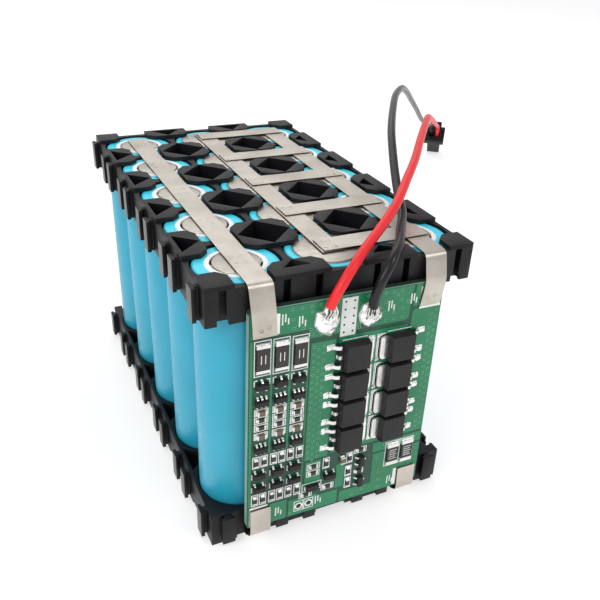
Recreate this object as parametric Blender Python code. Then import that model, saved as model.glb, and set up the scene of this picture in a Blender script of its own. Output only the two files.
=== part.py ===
"""Battery pack: 15 round cells in two clip-together holders, with strips, board and leads.

Every length is in millimetres and is turned into metres where a mesh is made.
Frame: X across the three columns, Y along the five rows (the board is at -Y), Z up.
"""

import math

import bmesh
import bpy
import numpy as np
from mathutils import Matrix, Vector

MM = 0.001
GAP = 0.3

# Where the centre of the cell grid lies, so that the whole pack is centred on the origin
GRID_X = 0.82
GRID_Y = 1.94

# Cell grid
PITCH = 20.2
COLUMNS = (("left", -1, True), ("centre", 0, False), ("right", 1, True))
ROWS = (-2, -1, 0, 1, 2)
HEIGHT = 67.0
SIDES = 16

# Cell and its shrink sleeve
CELL_LOW, CELL_HIGH = 0.9, 66.1
CAN_LOW, CAN_HIGH = 1.5, 65.5
CAN_R, CAP_R, BASE_R = 8.55, 5.1, 6.6
SLEEVE_IN, SLEEVE_OUT, CAP_LIP, BASE_LIP = 8.85, 9.15, 6.6, 7.2
SLEEVE_LOW, SLEEVE_HIGH, SLEEVE_WALL = 1.15, 65.85, 0.3

# Cell holder, given as the top one; the bottom one is the same moulding turned over
HALF_X, HALF_Y = 30.45, 51.0
HOLDER_LOW, WEB_TOP, BOSS_LOW = 58.4, 66.1, 65.9
BORE_R = 9.45
BOSS_HALF, BOSS_CHAMFER, HOLE_HALF = 6.3, 2.1, 6.1
EDGE_BOSS, EDGE_CHAMFER = 6.1, 1.9
# Three-cornered holes along the sides: half width, and depths of the wide side and the tip
SLOT_SIDE_HOLE = (3.1, 2.95, 6.0)
FIN_SIDE_HOLE = (4.2, 0.9, 5.85)
CLIP_OFFSET = 3.5
SLOT_MOUTH, SLOT_NECK, SLOT_WIDE, SLOT_DEPTH, SLOT_TOP = 1.6, 0.7, 3.2, 1.9, 66.0
NOTCH_WIDE, NOTCH_HIGH, NOTCH_DEEP = 2.4, 1.4, 2.0
FIN_NECK, FIN_STEM, FIN_HEAD, FIN_OUT = 1.3, 0.8, 3.0, 1.65
FIN_LOW, FIN_HIGH = 58.6, 66.0

# Nickel strip
STRIP, STRIP_WIDTH = 0.2, 5.2
RAIL_Z = 66.3
LINK_Z = 66.55
LINKS = ((39.0, 44.6), (18.0, 23.8), (-2.3, 3.5), (-23.1, -17.4), (-43.2, -37.5))
LINK_X = (-1.8, 24.0)

# Protection board: it leans on the front face, and its own axes are (s, t, h)
BOARD_W, BOARD_H, BOARD_T, BOARD_CORNER = 45.0, 55.9, 1.6, 1.0
BOARD_CENTRE = (-0.21, -53.60, 33.01)
BOARD_LEAN = math.radians(1.78)
BOARD_TURN = math.radians(1.185)
FET_COLUMNS = ((1.3, -1), (12.3, 1))
FET_ROWS = (13.9, 6.65, -0.5, -7.6)
FET_BODY = (6.1, 6.5, 2.3)
SOLDER = (("positive", -5.9, 23.3, 3.1, 3.4, 2.2), ("negative", 4.2, 22.8, 2.75, 2.75, 2.4))

# Output leads, and the plug that they end in
LEAD_R = 1.1
LEAD_STEP = 5.2
RED_ROUTE = (
    (-5.9, -54.8, 60.3),
    (-5.2, -55.1, 62.4),
    (-3.6, -55.0, 65.1),
    (-0.8, -53.8, 67.9),
    (4.0, -50.0, 69.6),
    (10.5, -44.9, 71.2),
    (17.2, -39.3, 73.2),
    (25.3, -30.5, 75.2),
    (32.9, -21.7, 76.2),
    (42.3, -9.5, 76.5),
    (50.0, 0.5, 76.0),
    (59.0, 12.3, 74.5),
    (70.2, 27.5, 71.0),
    (87.7, 50.7, 63.5),
    (109.0, 78.4, 54.0),
    (134.2, 111.4, 42.5),
    (159.0, 143.7, 31.0),
)
BLACK_ROUTE = (
    (4.2, -54.6, 58.2),
    (4.1, -55.0, 60.6),
    (5.0, -55.4, 64.3),
    (6.6, -55.0, 66.8),
    (8.5, -53.6, 68.6),
    (11.9, -49.9, 69.1),
    (16.8, -42.6, 69.4),
    (20.2, -37.4, 70.0),
    (24.3, -28.0, 72.5),
    (29.1, -17.7, 76.0),
    (34.8, -6.8, 79.2),
    (43.8, 7.5, 80.6),
    (54.0, 22.6, 80.2),
    (66.2, 38.3, 78.0),
    (80.0, 56.0, 72.0),
    (95.0, 75.0, 64.0),
    (112.3, 95.7, 54.0),
    (130.7, 117.9, 43.0),
    (145.5, 136.3, 35.5),
    (158.5, 150.5, 29.0),
    (168.5, 162.5, 25.0),
)
PLUG_REAR = (184.0, 178.5, 14.1)
PLUG_YAW = math.radians(51.5)
PLUG_PITCH = math.radians(-42.0)
PLUG_WIRES = 3.4
PLUG_BODY = (4.5, 11.6, 9.2)
PLUG_DROP = 4.1
PLUG_NOSE = (13.5, 7.2, 5.4)
PLUG_LATCH = (4.0, 7.0, 3.4)
PLUG_BORE = 2.8
WIRE_IN = 3.5
CONTACT = 1.8

# Colours: name, base colour, metallic, roughness
FINISHES = {
    "holder": ((0.03, 0.03, 0.035), 0.0, 0.5),
    "can": ((0.72, 0.72, 0.70), 1.0, 0.35),
    "sleeve": ((0.10, 0.55, 0.70), 0.0, 0.35),
    "nickel": ((0.75, 0.72, 0.66), 1.0, 0.3),
    "board": ((0.03, 0.30, 0.14), 0.0, 0.4),
    "foam": ((0.85, 0.85, 0.80), 0.0, 0.9),
    "fet": ((0.05, 0.05, 0.05), 0.0, 0.5),
    "solder": ((0.80, 0.80, 0.80), 1.0, 0.3),
    "red": ((0.80, 0.03, 0.03), 0.0, 0.45),
    "black": ((0.02, 0.02, 0.02), 0.0, 0.45),
    "brass": ((0.80, 0.62, 0.28), 1.0, 0.35),
}


# ---------------------------------------------------------------- helpers

def clear_scene():
    for obj in list(bpy.data.objects):
        bpy.data.objects.remove(obj)


def new_material(name, finish):
    colour, metallic, roughness = FINISHES[finish]
    material = bpy.data.materials.new(name)
    material.use_nodes = True
    shader = material.node_tree.nodes["Principled BSDF"]
    shader.inputs["Base Color"].default_value = (*colour, 1.0)
    shader.inputs["Metallic"].default_value = metallic
    shader.inputs["Roughness"].default_value = roughness
    material.diffuse_color = (*colour, 1.0)
    return material


def add_object(name, bm, finish, parent, placed=None, smooth=False):
    """Turns a bmesh in millimetres into an object in metres, moved by `placed` first."""
    if placed is not None:
        bmesh.ops.transform(bm, matrix=placed, verts=bm.verts)
    bmesh.ops.scale(bm, vec=(MM, MM, MM), verts=bm.verts)
    bmesh.ops.recalc_face_normals(bm, faces=bm.faces)
    mesh = bpy.data.meshes.new(name)
    bm.to_mesh(mesh)
    bm.free()
    if smooth:
        mesh.shade_smooth()
    obj = bpy.data.objects.new(name, mesh)
    bpy.context.scene.collection.objects.link(obj)
    obj.parent = parent
    if finish:
        mesh.materials.append(new_material(name, finish))
    return obj


def add_cutter(name, bm, parent, placed=None):
    cutter = add_object(name, bm, None, parent, placed)
    cutter.hide_render = True
    cutter.display_type = "WIRE"
    return cutter


def add_boolean(obj, operation, other):
    modifier = obj.modifiers.new(other.name, "BOOLEAN")
    modifier.operation = operation
    modifier.object = other


def prism(bm, outline, low, high):
    """A closed upright prism on a plan outline."""
    bottom = [bm.verts.new((x, y, low)) for x, y in outline]
    top = [bm.verts.new((x, y, high)) for x, y in outline]
    bm.faces.new(bottom[::-1])
    bm.faces.new(top)
    for i in range(len(outline)):
        j = (i + 1) % len(outline)
        bm.faces.new((bottom[i], bottom[j], top[j], top[i]))


def rectangle(x0, y0, x1, y1):
    return [(x0, y0), (x1, y0), (x1, y1), (x0, y1)]


def box(bm, low, high):
    prism(bm, rectangle(low[0], low[1], high[0], high[1]), low[2], high[2])


def circle(x, y, radius, count=SIDES):
    turn = 2 * math.pi / count
    return [(x + radius * math.cos(turn * i), y + radius * math.sin(turn * i)) for i in range(count)]


def rounded(half_x, half_y, radius, steps=4):
    """Outline of a rectangle with round corners, centred on the origin."""
    points = []
    corners = ((1, 1, 0), (-1, 1, 90), (-1, -1, 180), (1, -1, 270))
    for sx, sy, start in corners:
        for i in range(steps + 1):
            angle = math.radians(start + 90 * i / steps)
            x = sx * (half_x - radius) + radius * math.cos(angle)
            y = sy * (half_y - radius) + radius * math.sin(angle)
            points.append((x, y))
    return points


def lathe(bm, profile, closed_loop=False, count=SIDES):
    """A solid turned about Z. An open profile starts and ends at radius 0."""
    rings = []
    for radius, z in profile:
        if radius == 0:
            rings.append([bm.verts.new((0, 0, z))] * count)
        else:
            rings.append([bm.verts.new((x, y, z)) for x, y in circle(0, 0, radius, count)])
    if closed_loop:
        rings.append(rings[0])
    for lower, upper in zip(rings, rings[1:]):
        for i in range(count):
            j = (i + 1) % count
            corners = dict.fromkeys((lower[i], lower[j], upper[j], upper[i]))
            bm.faces.new(tuple(corners))


def ribbon(bm, path, thickness=STRIP):
    """A thin strip along a path of (x, y, z, width); its width lies along X."""
    points = [Vector((0, y, z)) for _, y, z, _ in path]
    loops = []
    for i, (x, _, _, width) in enumerate(path):
        before = points[i] - points[max(i - 1, 0)]
        after = points[min(i + 1, len(path) - 1)] - points[i]
        along = before.normalized() + after.normalized()
        across = Vector((0, -along.z, along.y)).normalized() * (thickness / 2)
        stretch = 1.0
        if before.length and after.length:
            stretch = 1 / math.cos(before.angle(after) / 2)
        across *= stretch
        corners = []
        for side, face in ((-1, -1), (1, -1), (1, 1), (-1, 1)):
            corner = points[i] + across * face
            corners.append(bm.verts.new((x + side * width / 2, corner.y, corner.z)))
        loops.append(corners)
    bm.faces.new(loops[0])
    bm.faces.new(loops[-1][::-1])
    for lower, upper in zip(loops, loops[1:]):
        for i in range(4):
            j = (i + 1) % 4
            bm.faces.new((lower[i], lower[j], upper[j], upper[i]))


def board_matrix():
    """Places board axes s (right), t (up), h (out of the front face) in the pack."""
    ez = Vector((0, math.sin(BOARD_LEAN), math.cos(BOARD_LEAN)))
    ex = Vector((1, 0, 0))
    out = Vector((0, -math.cos(BOARD_LEAN), math.sin(BOARD_LEAN)))
    turn = Matrix.Rotation(BOARD_TURN, 3, Vector((0, 1, 0)))
    axes = [turn @ ex, turn @ ez, turn @ out]
    matrix = Matrix((axes[0], axes[1], axes[2])).transposed().to_4x4()
    matrix.translation = BOARD_CENTRE
    return matrix


def plug_matrix():
    """Places plug axes: X out of the nose, Y across, Z out of the latch side."""
    matrix = Matrix.Rotation(PLUG_YAW, 4, "Z") @ Matrix.Rotation(-PLUG_PITCH, 4, "Y")
    matrix.translation = PLUG_REAR
    return matrix


# ---------------------------------------------------------------- holder

def on_side(side, u, depth):
    """Plan point on one side of the holder: u along the side, depth inward from its face."""
    points = {
        "front": (u, -HALF_Y + depth),
        "back": (u, HALF_Y - depth),
        "left": (-HALF_X + depth, u),
        "right": (HALF_X - depth, u),
    }
    return points[side]


def side_boundaries(side):
    """Centres of the places between two cells along one side."""
    if side in ("front", "back"):
        return (-PITCH / 2, PITCH / 2)
    return tuple(PITCH * i for i in (-1.5, -0.5, 0.5, 1.5))


def side_clips(side):
    """Centres of the clips along one side: one each way from every boundary and corner."""
    ends = 1.5 * PITCH if side in ("front", "back") else 2.5 * PITCH
    clips = [-ends + CLIP_OFFSET, ends - CLIP_OFFSET]
    for u in side_boundaries(side):
        clips += [u - CLIP_OFFSET, u + CLIP_OFFSET]
    return clips


def boss_outlines():
    """Plan of every raised boss: inside ones, those along each side, and the corners."""
    half, cut, skin = BOSS_HALF, BOSS_CHAMFER, 0.05
    full = [(half, half - cut), (half - cut, half), (cut - half, half), (-half, half - cut)]
    full += [(-x, -y) for x, y in full]
    outlines = []
    for x in side_boundaries("front"):
        for y in side_boundaries("left"):
            outlines.append([(x + dx, y + dy) for dx, dy in full])
    half, cut = EDGE_BOSS, EDGE_CHAMFER
    edge = [(-half, skin), (half, skin), (half, half - cut), (half - cut, half)]
    edge += [(cut - half, half), (-half, half - cut)]
    for side in ("front", "back", "left", "right"):
        for u in side_boundaries(side):
            outlines.append([on_side(side, u + du, depth) for du, depth in edge])
    corner = [(skin, skin), (half, skin), (half, half - cut), (half - cut, half), (skin, half)]
    for sx in (-1, 1):
        for sy in (-1, 1):
            outlines.append([(sx * (HALF_X - dx), sy * (HALF_Y - dy)) for dx, dy in corner])
    return outlines


def hole_outlines():
    """Plan of the square holes between cells, and of the half ones along the sides."""
    size = HOLE_HALF
    outlines = []
    for x in side_boundaries("front"):
        for y in side_boundaries("left"):
            outlines.append([(x + size, y), (x, y + size), (x - size, y), (x, y - size)])
    for side in ("front", "back", "left", "right"):
        half, wall, tip = SLOT_SIDE_HOLE if side in ("front", "right") else FIN_SIDE_HOLE
        for u in side_boundaries(side):
            shape = ((-half, wall), (half, wall), (0, tip))
            outlines.append([on_side(side, u + du, depth) for du, depth in shape])
    return outlines


def slot_outline(side, u):
    mouth, wide = SLOT_MOUTH / 2, SLOT_WIDE / 2
    shape = [(-mouth, -0.5), (mouth, -0.5), (mouth, SLOT_NECK), (wide, SLOT_NECK)]
    shape += [(wide, SLOT_DEPTH), (-wide, SLOT_DEPTH), (-wide, SLOT_NECK), (-mouth, SLOT_NECK)]
    return [on_side(side, u + du, depth) for du, depth in shape]


def notch_outline(side, u):
    half = NOTCH_WIDE / 2
    shape = ((-half, -0.5), (half, -0.5), (half, NOTCH_DEEP), (-half, NOTCH_DEEP))
    return [on_side(side, u + du, depth) for du, depth in shape]


def fin_outline(side, u):
    neck, head = FIN_NECK / 2, FIN_HEAD / 2
    shape = [(-neck, 0.4), (neck, 0.4), (neck, -FIN_STEM), (head, -FIN_STEM)]
    shape += [(head, -FIN_OUT), (-head, -FIN_OUT), (-head, -FIN_STEM), (-neck, -FIN_STEM)]
    return [on_side(side, u + du, depth) for du, depth in shape]


def holder_tools(name, holder):
    """The shapes that are cut from, or added to, a holder's block."""
    bores, bosses, holes, slots, notches, fins = (bmesh.new() for _ in range(6))
    for _, column, _ in COLUMNS:
        for row in ROWS:
            prism(bores, circle(column * PITCH, row * PITCH, BORE_R), HOLDER_LOW - 1, WEB_TOP + 1)
    for outline in boss_outlines():
        prism(bosses, outline, BOSS_LOW, HEIGHT)
    for outline in hole_outlines():
        prism(holes, outline, HOLDER_LOW - 1, HEIGHT + 1)
    for side in ("front", "right"):
        for u in side_clips(side):
            prism(slots, slot_outline(side, u), HOLDER_LOW - 1, SLOT_TOP)
            prism(notches, notch_outline(side, u), HOLDER_LOW - 1, HOLDER_LOW + NOTCH_HIGH)
    for side in ("back", "left"):
        for u in side_clips(side):
            prism(fins, fin_outline(side, u), FIN_LOW, FIN_HIGH)
    tools = (
        ("DIFFERENCE", "bores", bores),
        ("UNION", "bosses", bosses),
        ("DIFFERENCE", "holes", holes),
        ("DIFFERENCE", "slots", slots),
        ("DIFFERENCE", "notches", notches),
        ("UNION", "fins", fins),
    )
    for operation, label, bm in tools:
        add_boolean(holder, operation, add_cutter(f"{name}_{label}", bm, holder))


def build_holder(name, parent, upside_down):
    bm = bmesh.new()
    prism(bm, rectangle(-HALF_X, -HALF_Y, HALF_X, HALF_Y), HOLDER_LOW, WEB_TOP)
    holder = add_object(name, bm, "holder", parent)
    holder_tools(name, holder)
    if upside_down:
        holder.rotation_euler = (math.pi, 0, 0)
        holder.location = (0, 0, HEIGHT * MM)


# ---------------------------------------------------------------- cells

def build_cells(parent):
    can = [(0, CELL_LOW), (BASE_R, CELL_LOW), (BASE_R, CAN_LOW), (CAN_R, CAN_LOW), (CAN_R, CAN_HIGH)]
    can += [(CAP_R, CAN_HIGH), (CAP_R, CELL_HIGH), (0, CELL_HIGH)]
    wall = SLEEVE_WALL
    sleeve = [(BASE_LIP, SLEEVE_LOW), (SLEEVE_OUT, SLEEVE_LOW), (SLEEVE_OUT, SLEEVE_HIGH)]
    sleeve += [(CAP_LIP, SLEEVE_HIGH), (CAP_LIP, SLEEVE_HIGH - wall)]
    sleeve += [(SLEEVE_IN, SLEEVE_HIGH - wall), (SLEEVE_IN, SLEEVE_LOW + wall)]
    sleeve += [(BASE_LIP, SLEEVE_LOW + wall)]
    flip = Matrix.Translation((0, 0, HEIGHT)) @ Matrix.Rotation(math.pi, 4, "X")
    for label, column, cap_up in COLUMNS:
        for number, row in enumerate(ROWS, 1):
            place = Matrix.Translation((column * PITCH, row * PITCH, 0))
            if not cap_up:
                place = place @ flip
            bm = bmesh.new()
            lathe(bm, can)
            add_object(f"cell_{label}_{number}", bm, "can", parent, place)
            bm = bmesh.new()
            lathe(bm, sleeve, closed_loop=True)
            add_object(f"sleeve_{label}_{number}", bm, "sleeve", parent, place)


# ---------------------------------------------------------------- strips

def front_of_board(t, clear):
    """Pack (y, z) of a point that stands `clear` in front of the board at height t on it."""
    point = board_matrix() @ Vector((0, t, clear))
    return point.y, point.z


def top_tab(x_top, x_end, width, end):
    """Path from the top of the pack over the front edge and down the board to t = end."""
    clear = GAP + STRIP / 2
    y_end, z_end = front_of_board(end, clear)
    y_edge, z_edge = front_of_board(27.5, clear)
    z = RAIL_Z + STRIP / 2
    return [
        (x_top, -50.9, z, width),
        (x_top, -51.6, z - 0.5, width),
        (x_top + 0.2 * (x_end - x_top), y_edge, z_edge, width),
        (x_end, y_end, z_end, width),
    ]


def bottom_tab(x_under, x_end, width, end):
    """Path from under the pack round the front edge and up the board to t = end."""
    clear = GAP + STRIP / 2
    y_end, z_end = front_of_board(end, clear)
    y_edge, z_edge = front_of_board(-29.4, clear)
    z = HEIGHT - RAIL_Z - STRIP / 2
    return [
        (x_under, -50.8, z, width),
        (x_under, -51.9, z + 0.5, width),
        (x_end, y_edge, z_edge, width),
        (x_end, y_end, z_end, width),
    ]


def build_top_strips(parent):
    z, width = RAIL_Z + STRIP / 2, STRIP_WIDTH
    bm = bmesh.new()
    ribbon(bm, [(-19.9, 45.0, z, width)] + top_tab(-19.3, -19.0, width, 22.4))
    add_object("strip_b_plus", bm, "nickel", parent)
    bm = bmesh.new()
    box(bm, (-2.3, -43.4, RAIL_Z), (-2.3 + width, 45.2, RAIL_Z + STRIP))
    add_object("top_rail_centre", bm, "nickel", parent)
    bm = bmesh.new()
    ribbon(bm, [(21.1, 45.2, z, width), (20.9, -43.0, z, width)] + top_tab(20.5, 19.3, width, 22.0))
    add_object("top_rail_right", bm, "nickel", parent)
    for number, (front, back) in enumerate(sorted(LINKS), 1):
        bm = bmesh.new()
        box(bm, (LINK_X[0], front, LINK_Z), (LINK_X[1], back, LINK_Z + STRIP))
        add_object(f"top_link_{number}", bm, "nickel", parent)


def build_bottom_strips(parent):
    """Left and centre columns share one stamped ladder; the right column has a plain strip."""
    low = HEIGHT - RAIL_Z - STRIP
    z = low + STRIP / 2
    bm = bmesh.new()
    ribbon(bm, [(-20.0, 45.0, z, 4.9)] + bottom_tab(-20.0, -20.1, 4.9, -22.2))
    ladder = add_object("strip_b2_ladder", bm, "nickel", parent)
    rungs, rail = bmesh.new(), bmesh.new()
    for row in ROWS:
        y = row * PITCH
        box(rungs, (-18.2, y - 2.8, low + 0.02), (-2.0, y + 2.8, low + STRIP - 0.02))
    box(rail, (-2.6, -45.0, low), (2.6, 45.1, low + STRIP))
    add_boolean(ladder, "UNION", add_cutter("b2_ladder_rungs", rungs, parent))
    add_boolean(ladder, "UNION", add_cutter("b2_ladder_rail", rail, parent))
    bm = bmesh.new()
    ribbon(bm, [(20.2, 45.0, z, 4.9), (20.2, -45.0, z, 4.9)] + bottom_tab(19.4, 18.4, 4.9, -22.8))
    add_object("strip_b_minus", bm, "nickel", parent)


# ---------------------------------------------------------------- board

def build_board(parent):
    placed = board_matrix()
    bm = bmesh.new()
    prism(bm, rounded(BOARD_W / 2, BOARD_H / 2, BOARD_CORNER), -BOARD_T, 0)
    add_object("protection_board", bm, "board", parent, placed)
    bm = bmesh.new()
    box(bm, (-15.0, -18.0, -BOARD_T - GAP - 0.8), (15.0, 18.0, -BOARD_T - GAP))
    add_object("board_foam_pad", bm, "foam", parent, placed)


def fet_body(side):
    """Power transistor in board axes about its own centre: case, metal tab and legs."""
    half_s, half_t = FET_BODY[0] / 2, FET_BODY[1] / 2
    bm = bmesh.new()
    box(bm, (-half_s, -half_t, GAP), (half_s, half_t, GAP + FET_BODY[2]))
    metal = bmesh.new()
    tab = sorted((-side * (half_s - 1.0), -side * (half_s + 0.9)))
    box(metal, (tab[0], -2.7, GAP - 0.2), (tab[1], 2.7, GAP + 0.5))
    for t, reach in ((-2.35, 3.0), (0.0, 1.0), (2.35, 3.0)):
        leg = sorted((side * (half_s - 0.5), side * (half_s + reach)))
        box(metal, (leg[0], t - 0.4, GAP - 0.15), (leg[1], t + 0.4, GAP + 0.55))
    return bm, metal


def build_fets(parent):
    number = 0
    for s, side in FET_COLUMNS:
        for t in FET_ROWS:
            number += 1
            placed = board_matrix() @ Matrix.Translation((s, t, 0))
            case, metal = fet_body(side)
            fet = add_object(f"mosfet_{number}", case, "fet", parent, placed)
            add_boolean(fet, "UNION", add_cutter(f"mosfet_{number}_metal", metal, parent, placed))


def build_solder(parent):
    for label, s, t, half_s, half_t, height in SOLDER:
        bm = bmesh.new()
        angles = [math.radians(18 * i) for i in range(6)]
        profile = [(0, 0)] + [(math.cos(a), math.sin(a)) for a in angles[:-1]] + [(0, 1)]
        lathe(bm, profile, count=12)
        size = Matrix.Diagonal((half_s, half_t, height, 1))
        placed = board_matrix() @ Matrix.Translation((s, t, 0.1)) @ size
        add_object(f"solder_joint_{label}", bm, "solder", parent, placed, smooth=True)


# ---------------------------------------------------------------- leads

def smooth_route(route, step):
    """Evenly spaced points on a smooth curve through the route points."""
    points = [np.array(point, float) for point in route]
    points = [2 * points[0] - points[1]] + points + [2 * points[-1] - points[-2]]
    dense = []
    for a, b, c, d in zip(points, points[1:], points[2:], points[3:]):
        for u in np.linspace(0, 1, 40, endpoint=False):
            cubic = 3 * b - a - 3 * c + d
            dense.append(b + 0.5 * u * (c - a + u * (2 * a - 5 * b + 4 * c - d + u * cubic)))
    dense = np.array(dense + [points[-2]])
    travelled = np.concatenate([[0], np.cumsum(np.linalg.norm(np.diff(dense, axis=0), axis=1))])
    count = max(2, round(travelled[-1] / step) + 1)
    places = np.linspace(0, travelled[-1], count)
    return np.column_stack([np.interp(places, travelled, dense[:, k]) for k in range(3)])


def plug_point(x, y, z=0.0):
    return tuple(plug_matrix() @ Vector((x, y, z)))


def build_lead(name, route, across, parent):
    ends = (plug_point(-9.0, across), plug_point(-4.0, across), plug_point(WIRE_IN, across))
    path = smooth_route(route + ends, LEAD_STEP)
    curve = bpy.data.curves.new(name, "CURVE")
    curve.dimensions = "3D"
    curve.bevel_depth = LEAD_R * MM
    curve.bevel_resolution = 2
    curve.use_fill_caps = True
    spline = curve.splines.new("POLY")
    spline.points.add(len(path) - 1)
    for point, (x, y, z) in zip(spline.points, path):
        point.co = (x * MM, y * MM, z * MM, 1)
    spline.use_smooth = True
    curve.materials.append(new_material(name, name.removeprefix("lead_")))
    lead = bpy.data.objects.new(name, curve)
    bpy.context.scene.collection.objects.link(lead)
    lead.parent = parent


def build_plug(parent):
    placed = plug_matrix()
    body, nose, latch = PLUG_BODY, PLUG_NOSE, PLUG_LATCH
    top = body[2] - PLUG_DROP
    bm = bmesh.new()
    box(bm, (0, -body[1] / 2, -PLUG_DROP), (body[0], body[1] / 2, top))
    plug = add_object("plug_housing", bm, "black", parent, placed)
    bm = bmesh.new()
    box(bm, (body[0] - 1, -nose[1] / 2, -nose[2] / 2), (body[0] + nose[0], nose[1] / 2, nose[2] / 2))
    box(bm, (0.2, -latch[1] / 2, top - 0.5), (latch[0], latch[1] / 2, top + latch[2]))
    add_boolean(plug, "UNION", add_cutter("plug_additions", bm, parent, placed))
    bm = bmesh.new()
    half = PLUG_BORE / 2
    for y in (-PLUG_WIRES / 2, PLUG_WIRES / 2):
        box(bm, (-1, y - half, -half), (body[0] + nose[0] + 1, y + half, half))
    add_boolean(plug, "DIFFERENCE", add_cutter("plug_bores", bm, parent, placed))
    pin = CONTACT / 2
    for number, y in enumerate((-PLUG_WIRES / 2, PLUG_WIRES / 2), 1):
        bm = bmesh.new()
        box(bm, (WIRE_IN + GAP, y - pin, -pin), (body[0] + nose[0] - 1.0, y + pin, pin))
        add_object(f"plug_contact_{number}", bm, "brass", parent, placed)


# ---------------------------------------------------------------- build

def main():
    clear_scene()
    pack = bpy.data.objects.new("pack_grid", None)
    bpy.context.scene.collection.objects.link(pack)
    pack.location = (GRID_X * MM, GRID_Y * MM, 0)
    build_holder("top_cell_holder", pack, upside_down=False)
    build_holder("bottom_cell_holder", pack, upside_down=True)
    build_cells(pack)
    build_top_strips(pack)
    build_bottom_strips(pack)
    build_board(pack)
    build_fets(pack)
    build_solder(pack)
    build_lead("lead_black", BLACK_ROUTE, PLUG_WIRES / 2, pack)
    build_lead("lead_red", RED_ROUTE, -PLUG_WIRES / 2, pack)
    build_plug(pack)


main()
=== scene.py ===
"""Looks of the battery pack: replaces the plain solids with detailed pieces, lit on a pale floor.

Lengths are in millimetres from the centre of the cell grid. Shape.make() and place() turn them
into metres in the shared frame.
"""

import math

import bmesh
import bpy
import numpy as np
from mathutils import Matrix, Vector, noise


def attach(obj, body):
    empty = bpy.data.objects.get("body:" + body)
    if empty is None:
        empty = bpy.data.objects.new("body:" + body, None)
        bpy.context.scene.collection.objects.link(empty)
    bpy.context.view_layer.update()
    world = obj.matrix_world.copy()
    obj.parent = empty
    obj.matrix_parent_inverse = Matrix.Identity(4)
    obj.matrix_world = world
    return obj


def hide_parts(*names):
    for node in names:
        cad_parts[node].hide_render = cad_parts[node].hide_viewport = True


MM = 0.001
# Where the centre of the cell grid lies in the shared frame
GRID = (0.82, 1.94, 0.0)
PITCH = 20.2
HEIGHT = 67.0
# Columns of cells: name, place in steps of PITCH, and whether the cap is up
COLUMNS = (("left", -1, True), ("centre", 0, False), ("right", 1, True))
ROWS = (-2, -1, 0, 1, 2)
SHARP = 35

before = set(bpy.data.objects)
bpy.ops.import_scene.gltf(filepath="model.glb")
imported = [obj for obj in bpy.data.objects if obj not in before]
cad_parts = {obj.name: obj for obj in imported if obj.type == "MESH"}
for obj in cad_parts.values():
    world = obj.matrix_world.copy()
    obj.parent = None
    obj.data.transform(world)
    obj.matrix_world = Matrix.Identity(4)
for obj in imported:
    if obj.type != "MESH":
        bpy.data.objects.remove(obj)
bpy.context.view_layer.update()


# ------------------------------------------------------------------ mesh code

class Shape:
    """Collects faces in millimetres, each with a material number, and makes one object of them."""

    def __init__(self, at=None):
        self.at = at
        self.verts, self.faces, self.paints = [], [], []

    def add(self, solid, paint=0, at=None):
        verts, faces = solid
        at = at or self.at
        start = len(self.verts)
        self.verts += [tuple(at @ Vector(vert)) if at else tuple(vert) for vert in verts]
        self.faces += [[start + i for i in face] for face in faces]
        self.paints += [paint] * len(faces)

    def bar(self, x0, x1, y0, y1, z0, z1, paint=0, draft=0.0):
        """A block, with its two places along x in either order."""
        x0, x1 = sorted((x0, x1))
        self.add(box((x0, y0, z0), (x1, y1, z1), draft), paint)

    def make(self, name, materials, slot, smooth=True, sharp=SHARP, bevel=0.0, ride=True):
        """The finished object; edges turn sharp at more than the given degrees."""
        mesh = bpy.data.meshes.new(name)
        points = [tuple(MM * (v + g) for v, g in zip(vert, GRID)) for vert in self.verts]
        mesh.from_pydata(points, [], self.faces)
        for material in materials:
            mesh.materials.append(material)
        mesh.polygons.foreach_set("material_index", self.paints)
        bm = bmesh.new()
        bm.from_mesh(mesh)
        bmesh.ops.recalc_face_normals(bm, faces=bm.faces)
        bm.to_mesh(mesh)
        bm.free()
        obj = bpy.data.objects.new(name, mesh)
        bpy.context.scene.collection.objects.link(obj)
        if bevel:
            soften(obj, bevel)
        if smooth:
            mesh.shade_smooth()
            mesh.set_sharp_from_angle(angle=math.radians(sharp))
        if ride:
            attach(obj, "root")
        return obj


def soften(obj, width):
    """Rounds the sharp edges of an object and keeps its flat faces flat."""
    bevel = obj.modifiers.new("round_edges", "BEVEL")
    bevel.width = width * MM
    bevel.segments = 2
    bevel.limit_method = "ANGLE"
    bevel.angle_limit = math.radians(SHARP)
    weigh = obj.modifiers.new("flat_faces", "WEIGHTED_NORMAL")
    weigh.keep_sharp = True


def bridge(rings):
    """Faces between each two neighbouring rings of point numbers."""
    faces = []
    for lower, upper in zip(rings, rings[1:]):
        for i in range(len(lower)):
            j = (i + 1) % len(lower)
            faces.append(list(dict.fromkeys((lower[i], lower[j], upper[j], upper[i]))))
    return faces


def stack(rings):
    """A solid through rings of points: its sides ring by ring, then its first and last ends."""
    count = len(rings[0])
    numbers = [list(range(start, start + count)) for start in range(0, count * len(rings), count)]
    verts = [tuple(point) for ring in rings for point in ring]
    return verts, bridge(numbers) + [numbers[0][::-1], numbers[-1]]


def prism(outline, low, high):
    return stack([[(x, y, z) for x, y in outline] for z in (low, high)])


def oblong(x0, x1, y0, y1):
    return (x0, y0), (x1, y0), (x1, y1), (x0, y1)


def box(low, high, draft=0.0):
    """A block; draft makes its top that much smaller on every side."""
    (x0, y0, z0), (x1, y1, z1) = low, high
    return stack([[(x, y, z) for x, y in oblong(x0 + d, x1 - d, y0 + d, y1 - d)]
                  for d, z in ((0.0, z0), (draft, z1))])


def circle(x, y, radius, count):
    angles = [2 * math.pi / count * i for i in range(count)]
    return [(x + radius * math.cos(a), y + radius * math.sin(a)) for a in angles]


def mirrored(half):
    """An outline from the half of it that has x above 0."""
    return list(half) + [(-x, y) for x, y in reversed(half)]


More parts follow.
